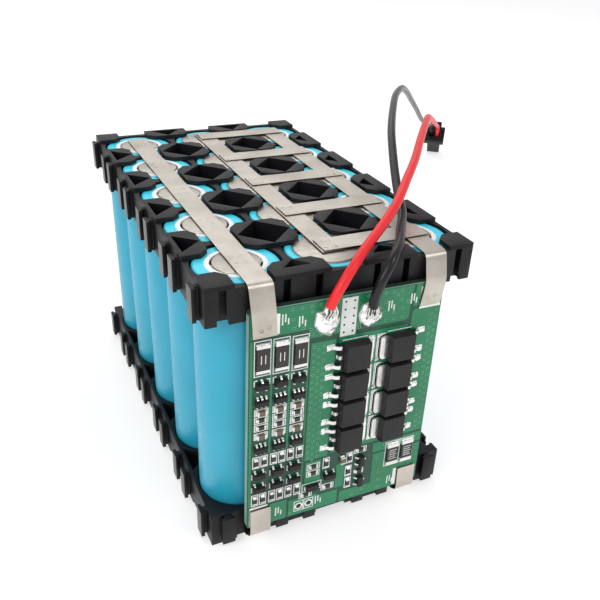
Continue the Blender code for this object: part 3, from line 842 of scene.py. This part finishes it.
def build_top_strips():
    path = rounded_path([(-19.9, 45.0, RAIL_Z, WIDE)] + top_tab(-19.3, -19.0, 22.4))
    add_strip("strip_front_left", "strip_b_plus", path, column_marks(-19.8, RAIL_Z, 1),
              tab_marks(-19.0, 24.2))
    path = straight(0.3, -43.4, 45.2, RAIL_Z)
    add_strip("rail_centre", "top_rail_centre", path, column_marks(0.3, RAIL_Z, 2), seed=3.0)
    path = [(21.1, 45.2, RAIL_Z, WIDE), (20.9, -43.0, RAIL_Z, WIDE)] + top_tab(20.5, 19.3, 22.0)
    add_strip("rail_right", "top_rail_right", rounded_path(path), column_marks(20.9, RAIL_Z, 3),
              tab_marks(19.3, 24.0), 5.0)
    links = ((-43.2, -37.5), (-23.1, -17.4), (-2.3, 3.5), (18.0, 23.8), (39.0, 44.6))
    for number, (front, back) in enumerate(links, 1):
        centre = (front + back) / 2
        shape = Shape()
        dents = [mark for x in (0.3, 20.9) for mark in weld_marks(x, centre, LINK_Z, number)]
        add_ribbon(shape, cross_link(-1.8, 24.0, centre, back - front, LINK_Z, number, dents))
        add_craters(shape, dents)
        finish_strip(shape, f"link_{number}", f"top_link_{number}")


def build_bottom_strips():
    path = [(20.2, 45.0, LOW_Z, NARROW), (20.2, -45.0, LOW_Z, NARROW)]
    path = rounded_path(path + bottom_tab(19.4, 18.4, -22.8))
    add_strip("strip_front_right_low", "strip_b_minus", path, column_marks(20.2, LOW_Z, 7, -1),
              tab_marks(18.4, -24.6), 7.0)
    ladder = Shape()
    add_welded(ladder, straight(0.0, -45.0, 45.1, LOW_Z), column_marks(0, LOW_Z, 8, -1), seed=8.0)
    for number, row in enumerate(ROWS):
        rung = cross_link(-18.2, -2.0, row * PITCH, 5.6, LOW_Z, 12 + number, thickness=0.17)
        add_ribbon(ladder, rung)
    path = rounded_path([(-20.0, 45.0, LOW_Z, NARROW)] + bottom_tab(-20.0, -20.1, -22.2))
    add_welded(ladder, path, column_marks(-20.0, LOW_Z, 9, -1), tab_marks(-20.1, -24.2), 9.0)
    finish_strip(ladder, "ladder_low", "strip_b2_ladder")


def straight(x, front, back, z):
    return [np.array((x, y, z, WIDE)) for y in (front, back)]


def cross_link(x0, x1, y, span, z, number, marks=(), thickness=STRIP):
    """A flat strip that runs along X, centred on y."""
    turn = Matrix.Rotation(math.pi / 2, 3, "Z")
    path = [(0.0, -x, z, span) for x in np.linspace(x0, x1, 40)]
    marks = [(b - y, -a, c, radius, depth) for a, b, c, radius, depth in marks]
    verts, faces, edges = ribbon(path, marks, thickness, wave=0.05, seed=10.0 + number)
    verts = [tuple(turn @ Vector(v) + Vector((0, y, 0))) for v in verts]
    return verts, faces, edges


build_top_strips()
build_bottom_strips()

# ------------------------------------------------------------------ board

# Large transistors: their columns and which way the legs of each point, their rows, and the halves
# and height of a case
FET_COLUMNS = ((1.3, -1), (12.3, 1))
FET_ROWS = (13.9, 6.65, -0.5, -7.6)
CASE_S, CASE_T, CASE_H = 3.05, 3.25, 2.6
OUTER_LEGS = (-2.35, 2.35)
CORNERS = ((-1, -1), (1, -1), (1, 1), (-1, 1))


def strap(path, across, width, thick):
    """A flat bar bent along a path; across points along its width."""
    path = [Vector(p) for p in path]
    side = Vector(across) * (width / 2)
    rings = []
    for i, point in enumerate(path):
        along = (path[min(i + 1, len(path) - 1)] - path[max(i - 1, 0)]).normalized()
        up = along.cross(side).normalized() * (thick / 2)
        rings.append([point + a * side + b * up for a, b in ((1, 1), (-1, 1), (-1, -1), (1, -1))])
    return stack(rings)


def leg(s, t, ds, dt, width, reach, height, thick):
    """A bent leg that leaves a case at (s, t), heads along (ds, dt) and lies flat on its pad."""
    steps = ((-0.3, height), (0.28 * reach, height), (0.42 * reach, height * 0.8),
             (0.52 * reach, 0.35), (0.62 * reach, 0.17), (reach, 0.15))
    path = [(s + ds * a, t + dt * a, h) for a, h in steps]
    return strap(path, (dt, -ds, 0), width, thick)


def mound(s, t, half_s, half_t, height, seed, wild, count, levels):
    """A domed drop of solder with an uneven outline and surface."""
    rings = []
    for i in range(levels):
        slope = math.pi / 2 * i / levels
        near, lift = math.cos(slope), height * math.sin(slope)
        ring = []
        for c, d in circle(0, 0, 1, count):
            edge = near * (1 + wild * noise.noise(Vector((1.3 * c, 1.3 * d, seed))))
            swell = 1 + 0.6 * wild * noise.noise(Vector((2.1 * c * near, 2.1 * d, seed + 5)))
            ring.append((s + half_s * c * edge, t + half_t * d * edge, 0.015 + lift * swell))
        rings.append(ring)
    return stack(rings)


# Outlines of the copper areas under the green mask
COPPER = (
    ((-22.3, 21.7), (-9.6, 21.7), (-9.3, 19.5), (-1.0, 19.5), (-1.0, 27.7), (-21.6, 27.7),
     (-22.3, 27.0)),
    ((-0.3, 19.5), (13.6, 19.5), (14.3, 20.2), (14.3, 23.0), (14.8, 27.7), (-0.3, 27.7)),
    ((15.0, 22.6), (22.3, 22.6), (22.3, 27.0), (21.6, 27.7), (15.5, 27.7)),
    ((15.0, -12.0), (22.3, -12.0), (22.3, 21.8), (15.4, 21.8), (15.0, 21.2)),
    oblong(-8.9, -3.2, -12.4, 18.2),
    oblong(-2.4, 14.2, -12.0, 18.4),
    oblong(8.9, 22.3, -15.4, -12.6),
    ((0.8, -27.7), (21.6, -27.7), (22.3, -27.0), (22.3, -15.9), (9.2, -15.9), (9.2, -24.6),
     (0.8, -24.6)),
    ((-12.4, -27.7), (0.2, -27.7), (0.2, -23.6), (-5.2, -23.6), (-5.4, -22.9), (-12.4, -22.9)),
    ((-21.6, -27.7), (-12.9, -27.7), (-12.9, -22.2), (-22.3, -22.2), (-22.3, -27.0)),
    oblong(-22.3, -21.75, -21.6, 21.2),
    oblong(-17.85, -17.35, -7.3, 20.6),
    oblong(-13.75, -13.25, -7.3, 20.6),
    oblong(-9.6, -9.25, -21.3, 18.2),
    oblong(-8.6, -4.7, -20.0, -13.0),
    oblong(-0.6, 1.6, -23.0, -16.0),
)


def via_places():
    """Places of the plated holes, on loosely staggered rows over the copper."""
    rows = ((-13.4, 4), (3.6, 5))
    places = [(s + 2.05 * i, 26.9) for s, count in rows for i in range(count)]
    places += [
        (-13.2, 24.6), (-12.9, 22.6), (-9.0, 25.6), (-9.2, 21.6), (-20.5, 22.1), (-18.6, 22.2),
        (-16.4, 22.2), (-10.9, 22.2), (-8.7, 20.3), (-6.8, 20.2), (-4.7, 20.2), (-2.9, 20.4),
        (1.9, 20.4), (4.0, 20.1), (6.1, 20.3), (8.3, 20.4), (10.4, 20.4), (12.5, 20.5),
        (7.9, 22.4), (10.2, 22.0), (12.4, 22.6), (8.2, 24.7), (11.9, 24.8), (13.6, 24.0),
        (10.9, 26.0), (-2.0, 26.9), (2.1, 19.9), (-3.4, 26.9),
    ]
    for s, t, count in ((-8.2, 17.2, 18), (-7.1, 16.4, 18), (-5.9, 17.0, 18),
                        (21.3, 20.6, 19), (20.1, 19.8, 19)):
        places += [(s, t - 1.7 * i) for i in range(count)]
    places += [
        (-20.9, -26.9), (-11.9, -26.8), (11.6, -26.6), (4.2, -26.6), (7.0, -26.0), (11.2, -22.0),
        (12.1, -13.9), (10.4, -17.4), (20.7, -14.1), (11.4, -24.3),
    ]
    return places


HALF_S, HALF_T, BOARD_THICK, BOARD_CORNER, BOARD_BEVEL = 22.5, 27.95, 1.6, 1.0, 0.15
CORNER_STEPS = 4
# The long face on the left, and the stretch of bevel along the top edge, which get the lighter copy
# of the edge colour: painted light
LEFT_FACE, TOP_BEVEL = 2 * CORNER_STEPS + 1, CORNER_STEPS


def build_board():
    inner_s, inner_t = HALF_S - BOARD_BEVEL, HALF_T - BOARD_BEVEL
    levels = ((HALF_S, HALF_T, -BOARD_THICK), (HALF_S, HALF_T, -0.18), (inner_s, inner_t, 0.0))
    rings = [[(x, y, h) for x, y in rounded(half_s, half_t, BOARD_CORNER, CORNER_STEPS)]
             for half_s, half_t, h in levels]
    count = len(rings[0])
    shape = Shape(BOARD)
    shape.add(stack(rings))
    # The sides get the darker copy of the edge colour, painted shade; the left side and top bevel
    # get the lighter copy, painted light
    shape.paints[:count] = [1] * count
    shape.paints[LEFT_FACE] = shape.paints[count + TOP_BEVEL] = 3
    for outline in COPPER:
        shape.add(prism(outline, 0.005, 0.06), 2)
    # The copper areas on the back
    for t0, t1 in ((19.0, 27.2), (-27.2, 15.0)):
        shape.bar(-21.8, 21.8, t0, t1, -1.66, -1.605, 2)
    board = shape.make("board", [MASK, BOARD_SIDE_SHADE, COPPER_MASK, BOARD_SIDE_LIGHT], "board", sharp=30)
    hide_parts("protection_board")

    shape = Shape(BOARD)
    for s, t in via_places():
        shape.add(prism(circle(s, t, 0.35, 12), 0.05, 0.085))
        # The dark centre of each via is painted shade in its hole
        shape.add(prism(circle(s, t, 0.19, 8), 0.06, 0.095), 1)
    shape.make("board_vias", [VIA, PAINTED_SHADE], "board", sharp=30)

    pad = Shape(BOARD)
    pad.add(prism(rounded(14.9, 17.9, 1.2), -2.7, -1.92))
    foam = pad.make("foam_pad", [FOAM], "foam", bevel=0.1)
    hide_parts("board_foam_pad")


PARTS = (CASE, TINNED, CERAMIC, WHITE, RESISTOR, SOLDER)
# Places in PARTS; place 0 is the epoxy of the small cases
IN_TIN, IN_CERAMIC, IN_WHITE, IN_GLAZE, IN_SOLDER = range(1, 6)
TRIO = (-0.95, 0.0, 0.95)
PAIR = (-0.95, 0.95)
LONE = (0.0,)

# Places of the small parts on the board, (s, t)
BIG_RESISTORS = ((-19.6, 17.0), (-15.5, 16.9), (-11.3, 16.7))
SENSE_COLUMNS = (14.4, 18.4)
CHIP_COLUMNS = (-20.6, -18.7, -16.5, -14.55, -12.5, -10.3)
BALANCE_COLUMNS = (-19.6, -15.5, -11.4)
DRIVER_COLUMNS = (-19.6, -15.45, -11.35)
SWITCHES = [(s, t) for s in (-19.9, -15.65, -11.5) for t in (-12.75, -16.45)]
FLAT_CHIPS = ((-6.6, -14.55), (-6.6, -16.5), (-2.6, -21.7), (-8.2, -22.35), (5.5, -13.4),
              (5.6, -19.7))
UPRIGHT_CHIPS = ((-3.3, -14.6), (2.8, -14.9), (2.7, -18.8), (2.8, -22.4))


def chip(shape, s, t, ds, dt, height, body, upright=True, end=0.35):
    """A two-ended part: body with metal ends and a sloped bead of solder at each end."""
    long_half, wide_half = (dt / 2, ds / 2) if upright else (ds / 2, dt / 2)

    def block(a0, a1, w, h0, h1, paint, draft):
        if upright:
            shape.bar(s - w, s + w, t + a0, t + a1, h0, h1, paint, draft)
        else:
            shape.bar(s + a0, s + a1, t - w, t + w, h0, h1, paint, draft)

    inner = long_half - end
    block(-inner, inner, wide_half * 0.94, 0.04, height, body, 0.02)
    block(-long_half, -inner, wide_half, 0.03, height + 0.03, IN_TIN, 0.04)
    block(inner, long_half, wide_half, 0.03, height + 0.03, IN_TIN, 0.04)
    for low, high in ((-long_half - 0.32, 0.1 - long_half), (long_half - 0.1, long_half + 0.32)):
        block(low, high, wide_half * 1.02, 0.02, height * 0.42, IN_SOLDER, 0.1)


def small_transistor(shape, s, t, top, bottom, turned=False):
    """A small three- to six-legged part; top and bottom list where its legs stand."""
    def put(ds, dt):
        return (s - dt, t + ds) if turned else (s + ds, t + dt)

    a, b = (0.66, 1.42) if turned else (1.42, 0.66)
    shape.bar(s - a, s + a, t - b, t + b, 0.45, 1.12, draft=0.12)
    shape.bar(s - a, s + a, t - b, t + b, 0.12, 0.451)
    for spots, way in ((top, 1), (bottom, -1)):
        for spot in spots:
            heading = (-way, 0) if turned else (0, way)
            shape.add(leg(*put(spot, way * 0.66), *heading, 0.42, 0.72, 0.5, 0.14), IN_TIN)
            shape.add(mound(*put(spot, way * 1.25), 0.3, 0.3, 0.2, spot + s, 0.3, 10, 3), IN_SOLDER)


def build_resistors():
    shape = Shape(BOARD)
    for s, t in BIG_RESISTORS:
        chip(shape, s, t, 2.95, 6.5, 0.6, IN_GLAZE, end=0.75)
        for bar in (s - 0.45, s + 0.45):
            shape.bar(bar - 0.09, bar + 0.09, t - 1.0, t + 1.0, 0.6, 0.63, IN_WHITE)
    for s in SENSE_COLUMNS:
        chip(shape, s, -17.1, 3.2, 6.3, 0.65, IN_GLAZE, end=1.1)
        for i in range(5):
            t = -18.4 + 0.62 * i
            shape.bar(s - 1.05, s + 1.05 - 0.3 * (i % 2), t, t + 0.16, 0.65, 0.68, IN_WHITE)
    for k, s in enumerate(CHIP_COLUMNS):
        chip(shape, s, -9.26 + 0.044 * k, 1.0, 1.9, 0.42, IN_GLAZE)
        chip(shape, s - 0.15, -19.85, 1.0, 1.9, 0.42, IN_GLAZE)
    for s in BALANCE_COLUMNS:
        for t in (1.95, 0.0):
            chip(shape, s, t, 1.9, 0.95, 0.42, IN_GLAZE, upright=False)
    for s, t in FLAT_CHIPS:
        chip(shape, s, t, 1.9, 1.0, 0.42, IN_GLAZE, upright=False)
    for s, t in UPRIGHT_CHIPS:
        chip(shape, s, t, 1.0, 1.95, 0.42, IN_GLAZE)
    shape.make("board_resistors", PARTS, "board", sharp=30)


def build_capacitors():
    shape = Shape(BOARD)
    for s in BALANCE_COLUMNS:
        for t in (3.95, -2.15):
            chip(shape, s, t, 2.1, 1.2, 0.75, IN_CERAMIC, upright=False, end=0.42)
    chip(shape, 0.8, -14.8, 1.25, 2.0, 0.8, IN_CERAMIC, end=0.42)
    shape.make("board_capacitors", PARTS, "board", sharp=30)


def build_transistors():
    shape = Shape(BOARD)
    for s in DRIVER_COLUMNS:
        small_transistor(shape, s, 10.55, LONE, PAIR)
        small_transistor(shape, s, 6.5, TRIO, TRIO)
        small_transistor(shape, s, -5.6, TRIO, TRIO)
    for s, t in SWITCHES:
        small_transistor(shape, s, t, PAIR, LONE)
    small_transistor(shape, -2.3, -18.4, PAIR, LONE)
    small_transistor(shape, 5.8, -16.5, PAIR, LONE, turned=True)
    small_transistor(shape, 5.9, -22.6, PAIR, LONE, turned=True)
    shape.bar(-8.3, -5.1, -21.2, -19.6, 0.2, 1.0, draft=0.15)
    for s in (-8.75, -5.2):
        shape.bar(s, s + 0.55, -20.9, -19.9, 0.03, 0.35, IN_TIN, 0.06)
    shape.make("board_transistors", PARTS, "transistor", sharp=30)


def printed_frame(shape, s, t, half_s, half_t, line=0.2):
    """Four printed lines round a rectangle."""
    s0, s1, t0, t1 = s - half_s, s + half_s, t - half_t, t + half_t
    for bounds in ((s0, s1, t0, t0 + line), (s0, s1, t1 - line, t1),
                   (s0, s0 + line, t0 + line, t1 - line), (s1 - line, s1, t0 + line, t1 - line)):
        shape.bar(*bounds, 0.005, 0.1)


def build_print():
    """White printing: outlines round the parts, plain marks by the pads, and the hole pads."""
    shape = Shape(BOARD)
    frames = (
        (BIG_RESISTORS, 1.85, 4.15),
        ([(s, -17.075) for s in SENSE_COLUMNS], 1.95, 3.675),
        ([(s, -9.175) for s in CHIP_COLUMNS], 0.85, 1.575),
        ([(s - 0.15, -19.85) for s in CHIP_COLUMNS], 0.85, 1.65),
        ([(s, t) for s in BALANCE_COLUMNS for t in (3.95, 1.95, 0.0, -2.15)], 1.6, 0.85),
        (FLAT_CHIPS[:-1], 1.65, 0.85),
        (UPRIGHT_CHIPS, 0.85, 1.55),
        (((-6.7, -20.4),), 2.5, 1.2),
        (((-9.8, -25.2),), 1.2, 1.5),
        (((-7.275, -25.2),), 1.225, 1.5),
    )
    for places, half_s, half_t in frames:
        for s, t in places:
            printed_frame(shape, s, t, half_s, half_t)
    for way in (-1, 1):
        for s in DRIVER_COLUMNS:
            shape.bar(s + way * 1.0, s + way * 1.75, 11.85, 12.08, 0.005, 0.1)
            shape.bar(s + way * 1.57, s + way * 1.8, 10.6, 12.08, 0.005, 0.1)
        for s, t in SWITCHES:
            shape.bar(s + way * 1.5, s + way * 1.72, t - 0.9, t + 0.5, 0.005, 0.1)
    shape.bar(-2.45, 1.2, 18.5, 27.4, 0.06, 0.11)
    # The dark centres of the header's holes are painted shade
    for row in range(5):
        for s in (-1.6, 0.45):
            shape.add(prism(circle(s, 19.45 + 1.78 * row, 0.24, 10), 0.1, 0.125), 1)
    marks = ((-14.9, 25.0), (-11.2, 23.9), (9.5, 23.7), (15.0, 24.5), (14.75, -25.3),
             (-14.9, -25.0), (-4.8, -24.9))
    for s, t in marks:
        for ds, low, high in ((-0.65, -1.2, 1.2), (0.0, -0.6, 1.2), (0.65, -1.2, 0.2)):
            shape.bar(s + ds - 0.15, s + ds + 0.15, t + low, t + high, 0.06, 0.1)
    # Pads round two holes, with dark centres of painted shade
    for s, t in ((-9.8, -25.25), (-7.25, -25.15)):
        shape.add(prism(circle(s, t, 1.0, 20), 0.06, 0.12), 2)
        shape.add(prism(circle(s, t, 0.62, 18), 0.1, 0.135), 1)
    for s, _ in FET_COLUMNS:
        shape.bar(s - 3.0, s + 3.0, 17.35, 17.6, 0.06, 0.1)
    for bounds in ((-21.9, -16.1, 22.1, 26.6), (16.6, 22.0, 21.7, 27.0),
                   (-22.0, -17.6, -27.3, -21.8), (15.5, 21.4, -27.3, -22.3)):
        shape.bar(*bounds, 0.055, 0.13, 2)
    shape.make("board_print", [WHITE, PAINTED_SHADE, TINNED], "board", smooth=False)


def fet_case():
    """Case with a seam at its legs' height, narrower above and below it."""
    levels = ((0.32, -0.1), (0.95, 0.0), (1.05, 0.0), (CASE_H, -0.24))
    return stack([[(a * (CASE_S + grow), b * (CASE_T + grow), h) for a, b in CORNERS]
                  for h, grow in levels])


def build_fet(number, s, t, side):
    """One large transistor; side is the way its legs point along s, opposite to its tab."""
    at = BOARD @ Matrix.Translation((s, t, 0))
    legs = side * CASE_S
    tab_reach, bead_end = (1.75, 2.5) if side == 1 else (0.6, 1.9)
    shape = Shape(at)
    shape.add(fet_case())
    shape.bar(legs - side * 0.4, legs + side * 0.75, -3.1, 3.1, 0.2, 1.15, 0, 0.3)
    tab = [(x - legs, y) for x, y in rounded(tab_reach, 2.8, 0.85, 5)]
    shape.add(prism(tab, 0.1, 0.75), 1)
    if side == 1:
        rib = [(x - legs - 0.75, y) for x, y in rounded(0.16, 2.3, 0.15, 3)]
        shape.add(prism(rib, 0.7, 0.9), 1)
    for dt in OUTER_LEGS:
        shape.add(leg(legs, dt, side, 0, 0.85, 3.15, 0.9, 0.42), 1)
    shape.add(leg(legs + side * 0.5, 0, side, 0, 0.85, 0.8, 0.95, 0.42), 1)
    case = shape.make(f"fet_{number}", [CASE, TINNED], "transistor", bevel=0.16)
    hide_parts(f"mosfet_{number}")
    shape = Shape(at)
    for dt in OUTER_LEGS:
        shape.bar(legs + side * 1.6, legs + side * 3.5, dt - 0.72, dt + 0.72, 0.055, 0.13, 0, 0.05)
        shape.add(mound(legs + side * 2.75, dt, 0.85, 0.78, 0.42, number + dt, 0.5, 16, 5))
        shape.add(mound(legs + side * 1.95, dt, 0.65, 0.6, 0.36, number - dt, 0.5, 14, 5))
    shape.bar(-legs - side * 0.3, -legs - side * bead_end, -3.35, 3.35, 0.055, 0.12, 0, 0.04)
    # A thin dark rim shows round the tab: painted shadow
    tab_shadow_line = [(x - legs, y) for x, y in rounded(tab_reach + 0.2, 3.0, 0.95, 5)]
    shape.add(prism(tab_shadow_line, 0.1, 0.16), 1)
    bead_start = -legs - side * (tab_reach + 0.28)
    shape.add(tab_solder(bead_start, -side, bead_end - tab_reach - 0.2, number))
    shape.make(f"fet_{number}_solder", [SOLDER, PAINTED_SHADE], "solder", sharp=60)


def build_fets():
    number = 0
    for s, side in FET_COLUMNS:
        for t in FET_ROWS:
            number += 1
            build_fet(number, s, t, side)


def tab_solder(edge, way, width, seed):
    """A smooth bead of solder that has run along a tab's edge."""
    out, across = 10, 40
    verts, faces = [], []
    for i in range(out + 1):
        a = i / out
        for k in range(across + 1):
            b = k / across
            t = -3.0 + 6.0 * b
            wobble = noise.noise(Vector((a * 2.0, t * 0.5, seed * 2.3)))
            fade = min(1.0, 6 * b, 6 * (1 - b)) ** 0.5
            h = 0.1 + (0.42 + 0.08 * wobble) * math.sin(math.pi * a) * fade
            verts.append((edge + way * width * (a + 0.1 * wobble), t, h))
    stride = across + 1
    for a in range(0, out * stride, stride):
        faces += [[a + k, a + k + 1, a + stride + k + 1, a + stride + k] for k in range(across)]
    rim = list(range(across)) + [i * stride + across for i in range(out)]
    rim += [out * stride + k for k in range(across, 0, -1)]
    rim += [i * stride for i in range(out, 0, -1)]
    under, count = len(verts), len(rim)
    verts += [(*verts[i][:2], 0.01) for i in rim]
    for n, i in enumerate(rim):
        m = (n + 1) % count
        faces.append([rim[m], i, under + n, under + m])
    return verts, faces + [list(range(under, under + count))]


# Where each lead's joint stands (s, t), the halves of its outline, its height, and how its bare
# strands bow: the offsets (s, t, h) of their middles and feet, and how far each fans out
JOINTS = (
    ("positive", RED_ROUTE, 3.0, (-5.9, 23.3), (3.05, 3.35), 2.1,
     ((0.4, 2.3, 2.0), (1.5, 0.3, 0.5)), ((0.0, 0.6, 1.6), (2.0, 0.9, 0.25))),
    ("negative", BLACK_ROUTE, 8.0, (4.2, 22.8), (3.0, 2.85), 1.8,
     ((-0.2, 1.9, 2.1), (1.3, 0.4, 0.4)), ((0.0, 0.2, 1.75), (1.6, 1.3, 0.3))),
)
STRANDS = 22
GOLDEN_ANGLE = 2.399963


def build_joints():
    """Each lead's bare strands spread out of its insulation into a drop of solder."""
    for label, route, seed, (s, t), (half_s, half_t), height, bow, foot in JOINTS:
        shape = Shape(BOARD)
        shape.add(mound(s, t, half_s, half_t, height, seed, 0.32, 48, 16))
        shape.add(mound(s + 0.6, t - 0.5, half_s * 0.6, half_t * 0.6, height * 1.08, seed + 2, 0.3,
                        36, 12))
        start, after = to_board(route[0]), to_board(route[1])
        back = (start - after).normalized()
        for i in range(STRANDS):
            spread, angle = math.sqrt((i + 0.5) / STRANDS), GOLDEN_ANGLE * i
            a, b = spread * math.cos(angle), spread * math.sin(angle)
            turn = 0.8 * noise.noise(Vector((i * 1.7, seed, 0)))
            top = start + Vector((0.85 * a, 0.25 * b, 0.8 * b)) - back * 0.7
            middle, end = (Vector((s, t, 0)) + Vector(offset) + Vector((u * a, v * b, w * b))
                           for offset, (u, v, w) in (bow, foot))
            end.x += turn
            between = (top + middle) / 2 + Vector((0, 0, 0.1 * turn))
            path = smooth_route([top, between, middle, end], 0.3)
            shape.add(tube(path, 0.15, 6), 2 if i % 3 == 0 else 1)
        joint = shape.make("joint_" + label, [SOLDER, TINNED, NICKEL_EDGE], "solder", sharp=70)
        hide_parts("solder_joint_" + label)


build_board()
build_resistors()
build_capacitors()
build_transistors()
build_print()
build_fets()
build_joints()


# ------------------------------------------------------------------ lights and floor

LIGHTS = (
    ("key", (-0.70, -0.30, 0.55), (0, 0, 0.03), 0.6, 3.0),
    ("top", (0.05, 0.55, 0.7), (0, 0, 0.05), 0.8, 2.0),
    ("front", (0.42, -0.58, 0.80), (0, 0, 0.04), 0.4, 1.6),
)


def area_light(name, at, aim, size, power):
    data = bpy.data.lights.new(name, "AREA")
    data.shape = "SQUARE"
    data.size = size
    data.energy = power
    light = bpy.data.objects.new(name, data)
    bpy.context.scene.collection.objects.link(light)
    light.location = at
    light.rotation_euler = (Vector(aim) - Vector(at)).to_track_quat("-Z", "Y").to_euler()


def build_floor():
    """A pale floor that glows a little, except under the pack: a darker patch of painted shadow."""
    halves = ((3000, 3000), (28, 48), (26, 46))
    verts, faces = stack([[(a * x, b * y, 0) for a, b in CORNERS] for x, y in halves])
    # Without its first end this is a flat sheet, with four pale faces round the darker patch of
    # painted shadow
    del faces[-2]
    shape = Shape()
    shape.add((verts, faces))
    shape.paints = [0] * 4 + [1] * 5
    pale = Paint("pale_floor", (0.55, 0.55, 0.55), 0.0, 0.9)
    pale.shader.inputs["Emission Color"].default_value = (1, 1, 1, 1)
    pale.shader.inputs["Emission Strength"].default_value = 0.58
    # No glow and a darker colour under the pack: painted shadow
    under = Paint("floor_painted_shadow", (0.3, 0.3, 0.3), 0.0, 0.9)
    floor = shape.make("floor", [pale.material, under.material], None, smooth=False, ride=False)


def build_studio():
    bpy.context.scene.view_settings.view_transform = "Standard"
    build_floor()
    world = bpy.data.worlds.new("studio")
    bpy.context.scene.world = world
    world.use_nodes = True
    background = world.node_tree.nodes["Background"].inputs
    background["Color"].default_value = (1, 1, 1, 1)
    background["Strength"].default_value = 0.6
    for light in LIGHTS:
        area_light(*light)


build_studio()
